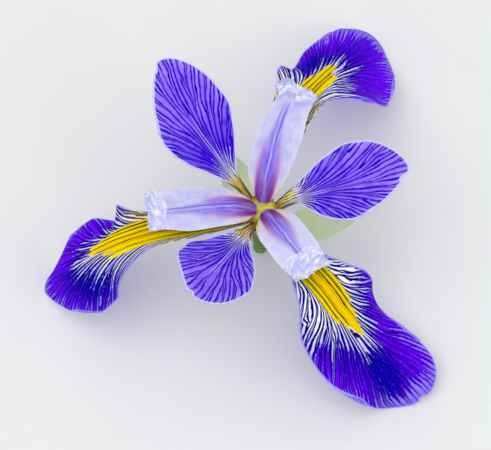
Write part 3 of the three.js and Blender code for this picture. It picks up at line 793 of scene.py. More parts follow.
def node_group(name, **defaults):
    """Makes a shader node group of plain numbers from a function of wires and inputs."""

    def keep(build):
        def make_tree():
            if name in bpy.data.node_groups:
                return bpy.data.node_groups[name]
            tree = bpy.data.node_groups.new(name, "ShaderNodeTree")
            for key, value in defaults.items():
                made = tree.interface.new_socket(
                    socket_name(key), in_out="INPUT", socket_type="NodeSocketFloat"
                )
                made.default_value = value
            wires = Wires(tree)
            given = wires.add("NodeGroupInput").outputs
            inputs = {key: Value(wires, socket) for key, socket in zip(defaults, given)}
            results = build(wires, **inputs)
            for key in results:
                tree.interface.new_socket(key, in_out="OUTPUT", socket_type="NodeSocketFloat")
            wires.feed_all(wires.add("NodeGroupOutput"), *results.values())
            return tree

        return make_tree

    return keep


@node_group("Vein Split", position=0.5, width=1.0, identity=0.0, threshold=1.5, seed=0.0)
def vein_split(wires, position, width, identity, threshold, seed):
    """One vein leaves a cell's border and runs down its middle once the cell is wide enough."""
    chance = wires.random(identity, seed)
    other = wires.random(identity, seed + 5.7)
    wide_enough = threshold * (chance * 0.7 + 0.7)
    opening = wires.ramp(width, wide_enough, wide_enough * 1.7)
    target = (other * 7.0).fract() * 0.24 + 0.38
    from_left = other > 0.5
    branch = from_left * (opening * target) + (1 - from_left) * (1 - opening * (1 - target))
    beyond = position > branch
    lower = beyond * branch
    upper = branch + beyond * (1 - branch)
    span = (upper - lower).greatest(0.0001)
    return {
        "Position": (position - lower) / span,
        "Width": width * span,
        "Identity": identity * 2.0 + beyond + 0.37,
    }


@node_group(
    "Branching Veins", number=0.0, gap=1.0, reach=0.0, line_width=0.4, threshold=1.5, wander=0.6, seed=0.0
)
def branching_veins(wires, number, gap, reach, line_width, threshold, wander, seed):
    """Lines along whole vein numbers, which branch where they stand far apart."""
    grain = wires.noise(wires.combine(reach * 0.2, number, seed)) - 0.5
    number = number + grain * wander
    identity = number.floor()
    cell = SimpleNamespace(position=number.fract(), width=gap, identity=identity)
    for level in range(VEIN_LEVELS):
        cell = wires.group(vein_split, **vars(cell), threshold=threshold, seed=seed + 11.3 * level)
    edge = cell.position.least(1 - cell.position)
    swell = wires.noise(wires.combine(reach * 0.9, number, seed), 1.3)
    half = (line_width * (swell * 1.2 + 0.4)).least(cell.width * 0.6) * 0.5
    return {
        "Line": wires.ramp(edge * cell.width, half + 0.07, half - 0.07),
        "Chance": wires.random(cell.identity, seed),
        "Middle": edge * 2.0,
    }


@node_group("Petal Tissue", along=0.0, across=0.0, cells_per_mm=2.6, seed=0.0)
def petal_tissue(wires, along, across, cells_per_mm, seed):
    """Fine dots of the surface cells, which are painted glints on falls and standards and coloured dots on
    the signal and the pollen, and soft mottling across the petal.
    """
    flat = wires.combine(along, across, seed)
    cells = wires.add("ShaderNodeTexVoronoi")
    wires.feed(cells.inputs["Vector"], flat)
    wires.feed(cells.inputs["Scale"], cells_per_mm)
    distance = Value(wires, cells.outputs["Distance"])
    return {
        "Sparkle": wires.ramp(distance, 0.42, 0.12) * wires.ramp(wires.noise(flat, 1.9), 0.48, 0.7),
        "Mottle": wires.noise(flat, 0.32, 4.0),
        "Cell Height": distance,
    }


@node_group("White Streaks", depth=0.0, along=0.0, across=0.0, chance=0.5, middle=0.5, mottle=0.5, seed=0.0)
def white_streaks(wires, depth, along, across, chance, middle, mottle, seed):
    """White streaks between the veins, each of its own length, which taper outwards."""
    fleck = wires.noise(wires.combine(along * 0.8, across, seed), 1.6)
    depth = depth + (chance * 5.0 - 3.6) + (mottle * 4.0 - 2.0) + (fleck * 6.0 - 3.0)
    return {
        "White": wires.ramp(depth + (middle * 7.0 - 3.5), -0.8, 1.6),
        "Outer": wires.ramp(depth, 6.0, 0.0),
    }


class Skin(Wires):
    """The wires of one material, which end in its shader."""

    def __init__(self, name):
        self.material = bpy.data.materials.new(name)
        self.material.use_nodes = True
        super().__init__(self.material.node_tree)
        self.tree.nodes.clear()
        self.shader = self.add("ShaderNodeBsdfPrincipled")
        self.feed(self.add("ShaderNodeOutputMaterial").inputs["Surface"], self.shader.outputs[0])

    def lay_out(self, seed, cells_per_mm):
        """Adds what all living surfaces share: the flat position and the tissue."""
        self.seed = seed
        self.along, self.across = self.field("along"), self.field("across")
        flat = {"along": self.along, "across": self.across, "seed": seed}
        self.tissue = self.group(petal_tissue, **flat, cells_per_mm=cells_per_mm)
        return self

    def grain(self, along_scale, across_scale, scale=1.0, detail=2.0):
        """Noise that is stretched along or across the surface."""
        position = self.combine(self.along * along_scale, self.across * across_scale, self.seed)
        return self.noise(position, scale, detail)

    def veins(self, line_width, threshold, wander):
        """Veins at the whole numbers of the mesh's fields. Reach is a place along them."""
        reach = abs(self.across) * 0.6 + self.along
        places = {"number": self.field("number"), "gap": self.field("gap"), "reach": reach}
        styles = {"line_width": line_width, "threshold": threshold, "wander": wander}
        return self.group(branching_veins, **places, **styles, seed=self.seed)

    def streaks(self, depth, veins):
        """White streaks between the veins, as far as the field named depth is above 0."""
        flat = {"along": self.along, "across": self.across, "seed": self.seed}
        between = {"chance": veins.chance, "middle": veins.middle, "mottle": self.tissue.mottle}
        return self.group(white_streaks, depth=self.field(depth), **flat, **between)

    def finish(self, colour_value, roughness, height, depth_mm, gloss=0.02, light_through=0.0):
        """Joins colour, roughness and relief to the shader, and returns the material."""
        self.feed(self.shader.inputs["Base Color"], colour_value)
        self.feed(self.shader.inputs["Roughness"], roughness)
        self.shader.inputs["Specular IOR Level"].default_value = gloss
        if light_through:
            self.shader.inputs["Subsurface Weight"].default_value = light_through
            self.shader.inputs["Subsurface Radius"].default_value = (0.5, 0.4, 1.0)
            self.shader.inputs["Subsurface Scale"].default_value = 0.6 * MM
        bump = self.add("ShaderNodeBump")
        for name, value in (("Strength", 1.0), ("Distance", depth_mm * MM), ("Height", height)):
            self.feed(bump.inputs[name], value)
        self.feed(self.shader.inputs["Normal"], bump.outputs[0])
        return self.material


def fall_material(name, seed, far_veins):
    """White and violet veined ground, yellow signal, dark veins and a thin pale rim."""
    sizes, colours = settings()
    skin = Skin(name).lay_out(seed, cells_per_mm=2.0)
    mottle, sparkle, midrib_off = skin.tissue.mottle, skin.tissue.sparkle, abs(skin.across)
    edge, haft, signal_depth, white_depth = (skin.field(key) for key in ("edge", "haft", "signal", "white"))
    # Veins are thin beside the signal, widen through the white zone and are fine on the blade
    vein_width = sizes.vein_width / MM
    width = skin.ramp(signal_depth, 0, -4, vein_width * 0.72, vein_width)
    veins = skin.veins(width * skin.ramp(white_depth, -4, 0.5, 0.55, 1), threshold=1.2, wander=0.36)
    streaks = skin.streaks("white", veins)
    pale = skin.streaks("fringe", veins).white * 0.85
    # The blade differs a little from one strip between veins to the next
    ground = skin.layers(
        colours.blade,
        (mottle * 1.3 + (veins.chance * 0.9 - 1.2), colours.blade_dark),
        # Painted shade: soft dark patches on the blade
        (skin.field("dark"), colours.blade_dark),
        (pale, colours.blade_pale),
        # Painted glints of the surface cells on the blade
        (sparkle * 0.55, colours.blade_glint),
        (
            streaks.white * skin.ramp(edge, 0.2, 1.2, 0.6, 1),
            skin.mix(streaks.outer, colours.white, colours.white_outer),
        ),
        (haft, colours.haft),
    )
    vein_colour = skin.layers(
        colours.vein,
        (skin.ramp(signal_depth, -3.5, -0.5), colours.vein_inner),
        (pale * 0.75, colours.blade),
        (haft, colours.haft_vein),
    )
    vein_strength = skin.ramp(white_depth, -13, -1, far_veins, 1) * (1 - haft * 0.12)
    # The signal: yellow with orange dots along its middle and dark lines between its strips
    signal = skin.ramp(skin.grain(1, 1, 1.5) * 1.4 + (signal_depth - 0.7), -0.1, 0.12)
    baseward = skin.ramp(skin.along, 40, 22)
    strip = skin.grain(0.18, 1) * 0.5 + (skin.field("strip") - 0.25)
    strip_width = skin.field("strip_width")
    line_off = abs((strip + 0.5).fract() - 0.5) * strip_width
    fine_off = abs((strip * 2).fract() - 0.5) * (strip_width * 0.5)
    yellow = skin.layers(
        colours.signal,
        (skin.ramp(mottle, 0.45, 0.7, 0, 0.4), colours.signal_deep),
        (skin.ramp(skin.along, 48, 22, 0.3, 0.65) * skin.ramp(midrib_off, 1.9, 0.6), colours.signal_deep),
        (sparkle * skin.ramp(midrib_off, 1.4, 0.5) * 0.9, colours.signal_spot),
        (skin.ramp(fine_off, 0.13, 0.05, 0, baseward * 0.5 + 0.2), colours.signal_line),
        (skin.ramp(line_off, baseward * 0.03 + 0.15, 0.09), colours.signal_line),
    )
    # The outer side is duller, with its veins showing through
    outer = skin.layers(
        colours.blade_pale,
        (haft * 0.9, colours.haft),
        (veins.line * 0.45, skin.mix(haft, colours.blade, colours.haft_vein)),
    )
    colour_value = skin.layers(
        ground,
        (veins.line * vein_strength, vein_colour),
        (signal, yellow),
        (skin.ramp(edge, sizes.rim_width / MM, 0.15) * (0.9 - haft * 0.8), colours.rim),
        (skin.field("under"), outer),
    )
    relief = veins.line * -0.8 + skin.tissue.cell_height * 0.35
    return skin.finish(colour_value, mottle * 0.2 + 0.45, relief, 0.06, gloss=0.004)


def standard_material(name, seed):
    """Blue-violet ground with darker branching veins, pale midrib lines and an olive claw."""
    sizes, colours = settings()
    skin = Skin(name).lay_out(seed, cells_per_mm=3.0)
    mottle, midrib_off = skin.tissue.mottle, abs(skin.across)
    edge, claw, base = (skin.field(key) for key in ("edge", "claw", "base"))
    veins = skin.veins(sizes.vein_width / MM * 0.66, threshold=1.35, wander=0.5)
    streaks = skin.streaks("base", veins)
    vein_strength = (mottle * 0.9 + (veins.chance * 0.3 + 0.42)) * skin.ramp(base, 3, 0, 0.1, 1)
    vein_colour = skin.mix(skin.ramp(base, -3, 3), colours.standard_vein, colours.vein_inner)
    # The claw has its own lines, which run straight up it and end among the streaks
    line_place = skin.across * 1.6 + skin.grain(0.4, 1) * 1.5
    line_chance = skin.random(line_place.floor(), seed)
    claw_line = skin.ramp(abs(line_place.fract() - 0.5), line_chance * 0.2 + 0.17, 0.08)
    claw_colour = skin.layers(
        colours.claw,
        (skin.ramp(line_chance, 0.4, 0.7) * skin.ramp(skin.along, 3, 8), colours.white),
        (claw_line * 0.9, colours.claw_line),
    )
    midrib_lines = skin.ramp(abs(midrib_off - 0.36), 0.17, 0.04) * skin.field("midrib")
    rim_colour = skin.mix(claw, colours.standard_rim, colours.claw_line)
    colour_value = skin.layers(
        colours.standard,
        (skin.ramp(edge, 3, 0.2) * 0.6 + veins.chance * 0.45, colours.standard_pale),
        # Painted glints: light specks of the surface cells
        (skin.tissue.sparkle * 0.35, colours.rim),
        # Painted shade: a darker band beyond the white base, with darker mottling
        (skin.field("deep") + skin.ramp(mottle, 0.45, 0.75, 0, 0.4), colours.standard_deep),
        (streaks.white, skin.mix(streaks.outer, colours.white, colours.white_outer)),
        (veins.line * vein_strength, vein_colour),
        (claw_line * skin.ramp(base, 0, 2.5, 0, 0.95), colours.vein_inner),
        (claw, claw_colour),
        (midrib_lines * 0.65, colours.white_outer),
        (skin.ramp(edge, sizes.rim_width / MM, 0.15) * 0.85, rim_colour),
        (skin.field("under") * 0.7, skin.mix(veins.line * 0.4, colours.rim, colours.standard)),
    )
    relief = veins.line * -0.8 + skin.tissue.cell_height * 0.3
    return skin.finish(colour_value, mottle * 0.2 + 0.45, relief, 0.06, gloss=0.006)


def arm_material(name, seed, paleness):
    """Pale lavender with a violet band between magenta edges, a maroon base and a bluish crest."""
    _, colours = settings()
    skin = Skin(name).lay_out(seed, cells_per_mm=2.2)
    along, across, mottle = skin.along, skin.across, skin.tissue.mottle
    crest, blush, upper = skin.field("crest"), skin.field("blush"), 1 - skin.field("under")
    fibres = skin.grain(0.22, 2.6, detail=4)
    creases = skin.noise(skin.combine(across * 0.6 + along, across * -0.3 + along * 0.15, seed), 1.5, 3)
    # Two dark lines run beside the pale midline
    line_place = skin.noise(skin.combine(along * 0.2, seed, 0)) * 0.8 + (across - 0.4)
    pale_line = skin.ramp(abs(line_place), 0.3, 0.08) * skin.field("pale_line")
    dark_line = skin.ramp(abs(abs(line_place) - 0.4), 0.32, 0.06) * skin.field("dark_line")
    # The crest's light folds are painted highlights along its creases
    crest_colour = skin.layers(
        colours.crest,
        (skin.ramp(creases, 0.34, 0.64), colours.crest_light),
        (skin.ramp(fibres, 0.52, 0.66, 0, 0.4), colours.arm_shade),
    )
    colour_value = skin.layers(
        colours.arm,
        # Pale ground by mottling; its least share is set per arm, and on the lower arm it paints light
        (skin.ramp(mottle, 0.25, 0.8, paleness, 0.85), colours.arm_pale),
        (skin.ramp(fibres, 0.5, 0.72, 0, 0.35), colours.arm_shade),
        (blush, colours.arm_blush),
        (skin.field("margin"), colours.crest_light),
        (
            skin.field("band") * skin.ramp(fibres, 0.3, 0.62, 0.55, 1) * upper,
            skin.mix(blush * 1.3, colours.arm_band, colours.arm_line),
        ),
        (skin.field("band_edge") * upper, colours.arm_edge),
        (pale_line, colours.arm_pale),
        (dark_line * skin.ramp(line_place, -0.2, 0.2, 1, 0.5) * upper, colours.arm_line),
        (skin.field("base"), colours.arm_base),
        (skin.field("seam"), colours.column),
        (crest * 0.9, crest_colour),
        (skin.field("crest_shade"), colours.crest_shade),
        # Painted highlight along the crest's fold
        (skin.field("fold_highlight") * skin.ramp(creases, 0.35, 0.6, 0.1, 0.65), colours.crest_light),
    )
    relief = crest * (creases * 1.4 + skin.grain(1, 1, 0.55, 3) * 0.6) + fibres * 0.8
    return skin.finish(colour_value, mottle * 0.2 + 0.4, relief, 0.12, gloss=0.2, light_through=0.2)


def green_material(name, seed, base_colour, second_colour, stripes_per_mm, rim_colour=None):
    """Green or olive plant skin with fine lengthwise stripes and, if wanted, a darker wide end."""
    skin = Skin(name).lay_out(seed, cells_per_mm=2.4)
    stripes = skin.grain(0.12, stripes_per_mm, detail=3)
    coats = [
        (skin.ramp(stripes, 0.35, 0.65, 0, 0.55), second_colour),
        (skin.ramp(skin.tissue.mottle, 0.5, 0.8, 0, 0.3), second_colour),
    ]
    if rim_colour:
        coats.append((skin.ramp(stripes * 0.5 + skin.field("rim"), 0.75, 1.2, 0, 0.85), rim_colour))
    colour_value = skin.layers(base_colour, *coats)
    return skin.finish(colour_value, skin.tissue.mottle * 0.25 + 0.38, stripes, 0.08, gloss=0.3)


def stamen_material():
    """Pale filament and a creamy anther with grains of pollen."""
    _, colours = settings()
    skin = Skin("stamen").lay_out(3.0, cells_per_mm=4.0)
    anther = skin.field("anther")
    filament = skin.mix(skin.tissue.mottle, colours.arm, colours.arm_band)
    pollen = skin.mix(skin.tissue.sparkle, srgb(226, 214, 178), srgb(250, 244, 220))
    colour_value = skin.mix(anther, filament, pollen)
    return skin.finish(colour_value, anther * 0.35 + 0.45, skin.tissue.cell_height, 0.06)


# Pieces


def seed_of(kind, order):
    """The seed of the piece of that kind and order, counted from 0."""
    first, pace = SEEDS[kind]
    return first + order * pace


def complete(petal, base, curl=None):
    """A petal's table with the values that all petals of its kind share."""
    shared = {"twist": [(0, 0), (1, 0)], "turn": [(0, 0), (1, 0)], "curl_left": curl, "curl_right": curl}
    return {**shared, **base, **petal}


def value_from(t, starts, values, before):
    """The value whose start is the last one up to t, or the one before all starts."""
    return (before, *values)[sum(t >= start for start in starts)]


def fall_table(name):
    petal = complete(FALLS[name], FALL_BASE)
    for hand in ("left", "right"):
        widths, curls = petal[hand + "_widths"], petal[hand + "_curls"]
        petal[hand] = [(t, width * value_from(t, WIDTH_STARTS, widths, 1)) for t, width in FALL_WIDTH]
        petal["curl_" + hand] = [(t, curl + value_from(t, CURL_STARTS, curls, 0)) for t, curl in FALL_CURL]
    return petal


def arm_table(name):
    return complete({"tip": STYLE_TIP, **STYLE_ARMS[name]}, STYLE_BASE, STYLE_CURL)


def laid_out(petal, grid):
    """Grid positions, u from base to tip and v from the left margin to the right one, closer at the
    margins, then the flat position and the share of the length at each."""
    rows, columns = grid
    u = np.linspace(0, 1, rows + 1)
    spread = math.pi / 2 * CROWDING
    v = -np.sin(np.linspace(-1, 1, columns + 1) * spread) / math.sin(spread)
    u, v = np.meshgrid(u, v, indexing="ij")
    along, across = flat_grid(petal, u, v)
    return u, v, along, across, along / petal["length"]


def waves(petal, along, v, height, wavelength, phase):
    """Gentle waves that grow towards both margins."""
    turns = 2 * math.pi * along / wavelength
    left = np.sin(turns + phase) + 0.5 * np.sin(turns * 1.7)
    right = np.sin(turns / 1.13 + phase * 2 + 1) + 0.4 * np.sin(along * 1.1 + phase)
    return height * np.abs(v) ** 3 * np.where(v > 0, left, right) * step(0.2, 0.5, along / petal["length"])


def patches(spots, along, across):
    """Soft patches of colour from (place, size, strength) spots, at most 1."""
    total = np.zeros_like(along)
    for at, size, strength in spots:
        total += strength * bell(along - at[0], size[0]) * bell(across - at[1], size[1])
    return np.minimum(total, 1)


def fall_vein_fields(marks, share, along, across):
    """Vein number, counted on across the midrib, and the gap between whole numbers, on a fall."""
    middle = midrib_number(FALL_GUIDES_LEFT)
    left, right = (
        (middle - vein_number(guides, share - marks["shift"], across)) * factor
        for guides, factor in zip((FALL_GUIDES_LEFT, FALL_GUIDES_RIGHT), marks["veins"])
    )
    gap = spacing(np.where(across >= 0, left, right), along, across)
    return middle + np.where(across >= 0, -left, right), gap


def signal_fields(marks, share, along, across):
    """Distance inside the yellow signal, place across its strips, and the width of a strip."""
    fingers = marks["signal"]
    edges = [fingers[0][0], *(right for _, right, _ in fingers)]
    end = np.full_like(along, -9.0)
    for left, right, reach in fingers:
        offset = np.abs((across - (left + right) / 2) / (left - right) * 2)
        end = np.where(offset <= 1, reach - (1 + 1.1 * (left - right)) * offset**1.5, end)
    narrow = 1 - smooth([(0, 0.55), (0.2, 0.1), (0.3, 0), (1, 0)], share)
    inside = np.minimum(edges[0] * narrow - across, across - edges[-1] * narrow)
    strip = np.interp(across, edges[::-1], np.arange(len(edges), dtype=float))
    middles = [(left + right) / 2 for left, right, _ in fingers]
    strip_width = np.interp(across, middles[::-1], [left - right for left, right, _ in fingers[::-1]])
    return np.minimum(inside, (end - along) * 0.6), strip, strip_width


def zone_depth(knots, along, side):
    """Distance inside the zone whose reach to one side runs through (along, across) knots."""
    places = np.linspace(knots[0][0], knots[-1][0], 90)
    nearest = np.full_like(along, 400.0)
    for place_along, reach in zip(places, smooth(knots, places)):
        nearest = np.minimum(nearest, (along - place_along) ** 2 + (side - reach) ** 2)
    inside = (side < smooth(knots, along)) & (along < knots[-1][0])
    return np.sqrt(nearest) * np.where(inside, 1, -1)


class IRIS_OT_falls(bpy.types.Operator):
    """Adds the three drooping falls, with signal, white zone and branching veins"""

    bl_idname = "iris.add_falls"
    bl_label = "Add Falls"

    def execute(self, context):
        sizes = context.scene.iris_sizes
        for order, name in enumerate(FALLS):
            petal, marks = fall_table(name), FALL_MARKS[name]
            _, v, along, across, share = laid_out(petal, FALL_GRID)
            number, gap = fall_vein_fields(marks, share, along, across)
            signal, strip, strip_width = signal_fields(marks, share, along, across)
            white_left = zone_depth(marks["white_left"], along, across)
            white_right = zone_depth(marks["white_right"], along, -across)
            haft_end = np.where(across >= 0, *marks["haft"])
            edge = margin_distance(petal, along, across)
            fields = {
                "number": number,
                "gap": gap,
                "edge": edge,
                "signal": signal,
                "strip": strip,
                "strip_width": strip_width,
                "haft": step(haft_end, haft_end - 0.1, share),
                "white": np.where(across >= 0, white_left, white_right),
                # Soft patches of painted shade on the blade
                "dark": patches(marks["dark"], along, across),
                "fringe": 8 * patches(marks["pale"], along, across) + marks["margin"] - edge,
            }
            lift = waves(petal, along, v, sizes.ruffle / MM, FALL_WAVE, order * 2.1)
            thin = sizes.fall_thickness / MM / 2 * (1 - 0.5 * np.abs(v) ** 8)
            thin = thin * (1 + 0.9 * step(0.3, 0.05, share))
            keel = rib(across, FALL_KEEL) * step(0.6, 0.3, share)
            material = fall_material(name, seed_of("fall", order), marks["far_veins"])
            add_sheet(name, petal, along, across, lift, thin, thin + keel, fields, material)
        return {"FINISHED"}


class IRIS_OT_standards(bpy.types.Operator):
    """Adds the three raised standards"""

    bl_idname = "iris.add_standards"
    bl_label = "Add Standards"

    def execute(self, context):
        sizes = context.scene.iris_sizes
        for order, name in enumerate(STANDARDS):
            petal = complete(STANDARDS[name], STANDARD_BASE, STANDARD_CURL)
            _, v, along, across, share = laid_out(petal, STANDARD_GRID)
            number = vein_number(STANDARD_GUIDES, share, across)
            midrib_end = petal["midrib_end"]
            fields = {
                "number": np.where(across >= 0, number, 2 * midrib_number(STANDARD_GUIDES) - number),
                "gap": spacing(number, along, across),
                "edge": margin_distance(petal, along, across),
                "base": (STANDARD_WHITE - share) * petal["length"] - 0.35 * np.abs(across),
                "claw": step(0.25, 0.17, share),
                # Band of painted shade beyond the white base
                "deep": petal["deep"] * bell(share - 0.4, 0.17),
                "midrib": step(0.15, 0.22, share) * step(midrib_end + 0.15, midrib_end, share),
            }
            groove = rib(across, STANDARD_GROOVE) * step(0.9, 0.5, share)
            ruffle = sizes.ruffle / MM * 0.7
            lift = waves(petal, along, v, ruffle, STANDARD_WAVE, 0.7 + order * 1.9) + groove
            thin = sizes.standard_thickness / MM / 2 * (1 - 0.5 * np.abs(v) ** 8)
            thin = thin * (1 + step(0.3, 0.05, share))
            material = standard_material(name, seed_of("standard", order))
            add_sheet(name, petal, along, across, lift, thin, thin, fields, material)
        return {"FINISHED"}


class IRIS_OT_style_arms(bpy.types.Operator):
    """Adds the three pale style arms with their toothed crests"""

    bl_idname = "iris.add_style_arms"
    bl_label = "Add Style Arms"

    def execute(self, context):
        sizes = context.scene.iris_sizes
        for order, name in enumerate(STYLE_ARMS):
            petal = arm_table(name)
            shape, fold_highlight = petal["crest"], petal["fold_highlight"]
            u, v, plain_along, plain_across, share = laid_out(petal, STYLE_GRID)
            stepped = np.mod((CREST_STEP["from"] - plain_across) / CREST_STEP["width"], 1)
            start = shape["start"] * petal["length"] + shape["steps"] * stepped
            crest = step(start, start + 0.06 * petal["length"], plain_along)
            # The crest is cleft in two toothed lobes
            left_end = step(0.35, 1, v)
            cleft = CREST_CLEFT["depth"] * bell(v - CREST_CLEFT["at"], CREST_CLEFT["width"]) * u**10
            teeth = CREST_TEETH * (np.sin(v * 31 + order) + np.sin(v * 67 + order * 2)) * u**20
            peak = shape["peak"] * bell(v - CREST_PEAK["at"], CREST_PEAK["width"]) * u**9
            along = plain_along + peak - cleft - teeth - shape["slant"] * left_end * u**12
            rough = np.sin(along * 5.3 + order) + np.sin(along * 8.9 + order * 2) + np.sin(along * 14.3)
            across = plain_across * (1 + 0.006 * rough * np.abs(v) ** 6)
            across = across * (1 - 0.08 * shape["slant"] * left_end * u**9)
            band_width = smooth(BAND_WIDTH, share)
            in_band = np.abs(plain_across) / band_width
            band_edge = bell(np.abs(plain_across) - band_width, 0.4 + share)
            # Band along the crest's fold, raised a little and painted with a highlight
            fold_off = plain_along - start - fold_highlight["at"] - 0.36 * np.sin(across * 1.2 + order)
            shade = 0.3 * bell(fold_off + 1.5, 0.7) + 0.45 * step(0.9, 2, fold_off) * step(0.5, 2.5, across)
            foot = (0.5 + 0.5 * step(0.2, 0.9, in_band)) * step(0.32, 0.05, share)
            fields = {
                "band": step(1.3, 0.6, in_band) * smooth(BAND_FADE, share),
                "band_edge": smooth(BAND_EDGE_FADE, share) * band_edge,
                "blush": 0.7 * step(0.42, 0.06, share),
                "margin": 0.55 * np.abs(v) ** 5,
                "pale_line": 0.3 * step(0.05, 0.12, share) * step(0.7, 0.3, share),
                "dark_line": 0.65 * step(0.1, 0.3, share) * step(0.86, 0.74, share),
                "base": foot * step(1.25, 0.85, in_band),
                "seam": np.maximum(step(0.035, 0, share), step(0.24, 0.05, share) * step(1.1, 1.7, in_band)),
                "crest": crest,
                "fold_highlight": fold_highlight["strength"] * bell(fold_off, fold_highlight["width"]),
                "crest_shade": shape["steps"] * shade,
            }
            # Broad facets meet in sharp slanting creases on the crest
            crumple = 0.5 * np.abs(np.sin(across * 0.6 + along * 0.35 + order))
            crumple = crumple + 0.22 * np.abs(np.sin(across * 0.9 - along * 0.7 + order * 2))
            ridge = rib(across, STYLE_RIDGE) * step(0.05, 0.2, share) * (1 - crest)
            lift = (crumple - 0.3) * crest + ridge + 0.22 * fields["fold_highlight"] * (1 - np.abs(v) ** 4)
            thin = sizes.arm_thickness / MM / 2 * (1 - 0.45 * np.abs(v) ** 8) * (1 - 0.4 * crest)
            material = arm_material(name, seed_of("style_arm", order), petal["pale"])
            add_sheet(name, petal, along, across, lift, thin, thin, fields, material)
        return {"FINISHED"}


class IRIS_OT_stamens(bpy.types.Operator):
    """Adds the three stamens, hidden under the style arms"""

    bl_idname = "iris.add_stamens"
    bl_label = "Add Stamens"

    def execute(self, context):
        material = stamen_material()
        anther_start, anther_end = ANTHER_RANGE
        thread_radius = FILAMENT_RADIUS * 0.8
        rows, columns = STAMEN_GRID
        t = np.linspace(FILAMENT_START, anther_end, rows)
        angle = np.linspace(0, 2 * math.pi, columns, endpoint=False)
        in_anther = np.clip((t - anther_start) / (anther_end - anther_start), 0, 1)
        swell = np.sin(math.pi * in_anther) ** 0.35
        radius = thread_radius + (ANTHER_RADIUS - thread_radius) * swell
        radius[[0, -1]] = 0.001
        # The anther has two long pollen sacs with a furrow between them
        furrow = 1 - 0.25 * swell[:, None] * np.abs(np.sin(angle)) ** 6
        wide = radius[:, None] * np.cos(angle)
        tall = radius[:, None] * 0.8 * np.sin(angle) * furrow
        for name, (fall, arm) in STAMENS.items():
            low, high = fall_table(fall), arm_table(arm)
            reach = high["length"] / low["length"]
            lower, upper = point_on(centre_line(low), t * reach), point_on(centre_line(high), t)
            path = lower * (1 - STAMEN_LEVEL) + upper * STAMEN_LEVEL
            tangent = unit(np.gradient(path, axis=0))
            level = unit(np.cross([0.0, 0.0, 1.0], tangent))
            up = np.cross(tangent, level)
            rings = path[:, None] + level[:, None] * wide[..., None] + up[:, None] * tall[..., None]
            spread = np.ones_like(wide)
            fields = {
                "along": t[:, None] * high["length"] * spread,
                "across": angle * spread,
                "anther": step(0.0, 0.06, in_anther)[:, None] * spread,
            }
            add_round(name, rings, fields, material)
        return {"FINISHED"}


class IRIS_OT_spathes(bpy.types.Operator):
    """Adds the two green spathes below the flower"""

    bl_idname = "iris.add_spathes"
    bl_label = "Add Spathes"

    def execute(self, context):
        material = green_material("spathe", 61.0, context.scene.iris_colours.spathe, srgb(226, 255, 188), 2.2)
        for name, spathe in SPATHES.items():
            sides = {"left": spathe["sides"], "right": spathe["sides"], "tip": SPATHE_TIP}
            petal = complete({**spathe, **sides}, SPATHE_BASE, SPATHE_CURL)
            _, v, along, across, share = laid_out(petal, SPATHE_GRID)
            keel = rib(across, SPATHE_KEEL) * step(1.0, 0.6, share)
            thin = SPATHE_THICKNESS / 2 * (1 - 0.6 * np.abs(v) ** 6)
            add_sheet(name, petal, along, across, 0 * v, thin, thin + keel, {}, material)
        return {"FINISHED"}


def turned_rings(profile, lobes, ribs):
    """Rings of a turned body through (height, radius) knots, closed on the axis, with three blunt lobes."""
    rows, columns = ROUND_GRID
    heights = np.linspace(profile[0][0], profile[-1][0], rows)
    radius = np.concatenate([[0.001], smooth(profile, heights), [0.001]])
    heights = np.concatenate([heights[:1], heights, heights[-1:]])
    angle = np.linspace(0, 2 * math.pi, columns, endpoint=False)
    rim = radius[:, None] * (1 - lobes * (1 - np.cos(3 * angle)) + ribs * np.cos(6 * angle + 0.4))
    z = np.repeat(heights[:, None], columns, 1)
    rings = np.stack([rim * np.cos(angle), rim * np.sin(angle), z], -1)
    return rings, {"along": z, "across": rim * angle, "rim": rim / rim.max()}


class IRIS_OT_stalk(bpy.types.Operator):
    """Adds the cut stalk, ovary, floral tube and style column"""

    bl_idname = "iris.add_stalk"
    bl_label = "Add Stalk"

    def execute(self, context):
        colours = context.scene.iris_colours
        # Each body: profile of heights and radii, depth of its lobes and of its ribs
        stalk, ovary, tube, column = STALK["radius"], OVARY["radius"], TUBE["radius"], COLUMN["radius"]
        bodies = {
            "stalk": (
                [(0, stalk * 0.97), (0.12, stalk), (1.5, stalk * 0.96), (STALK["top"], stalk * 0.93)],
                0.0, 0.015,
            ),
            "ovary": (
                [
                    (OVARY["base"], ovary * 0.7), (OVARY["base"] + 1.6, ovary * 0.95),
                    (OVARY["base"] + 4, ovary), (OVARY["top"] - 2.4, ovary * 0.95), (OVARY["top"], tube),
                ],
                OVARY["lobes"], 0.03,
            ),
            "floral_tube": (
                [
                    (TUBE["base"], tube), (TUBE["base"] + 4.5, tube), (TUBE["top"] - 2.6, tube + 0.4),
                    (TUBE["top"] - 0.3, TUBE["mouth"]), (TUBE["top"], TUBE["mouth"] - 0.3),
                ],
                0.03, 0.02,
            ),
            "style_column": (
                [
                    (COLUMN["base"], column), (COLUMN["base"] + 2, column + 0.1),
                    (COLUMN["top"] - 0.9, column + 1), (COLUMN["top"] + 0.3, COLUMN["rim"]),
                    (COLUMN["top"] + 0.5, COLUMN["rim"] - 0.2),
                    (COLUMN["top"] + 0.75, 1.6), (COLUMN["top"] + 0.85, 0.4),
                ],
                0.02, 0.02,
            ),
        }
        # Each body's finish: seed, two colours, stripes for each millimetre and the rim's colour
        finishes = {
            "stalk": (71.0, colours.stalk, srgb(140, 176, 88), 3.0),
            "ovary": (75.0, colours.stalk, srgb(88, 128, 52), 1.2),
            "floral_tube": (81.0, colours.column, srgb(150, 170, 70), 1.5),
            "style_column": (85.0, colours.column, srgb(168, 150, 30), 2.0, srgb(120, 78, 34)),
        }
        for name, (profile, lobes, ribs) in bodies.items():
            rings, fields = turned_rings(profile, lobes, ribs)
            add_round(name, rings, fields, green_material(name, *finishes[name]))
        return {"FINISHED"}


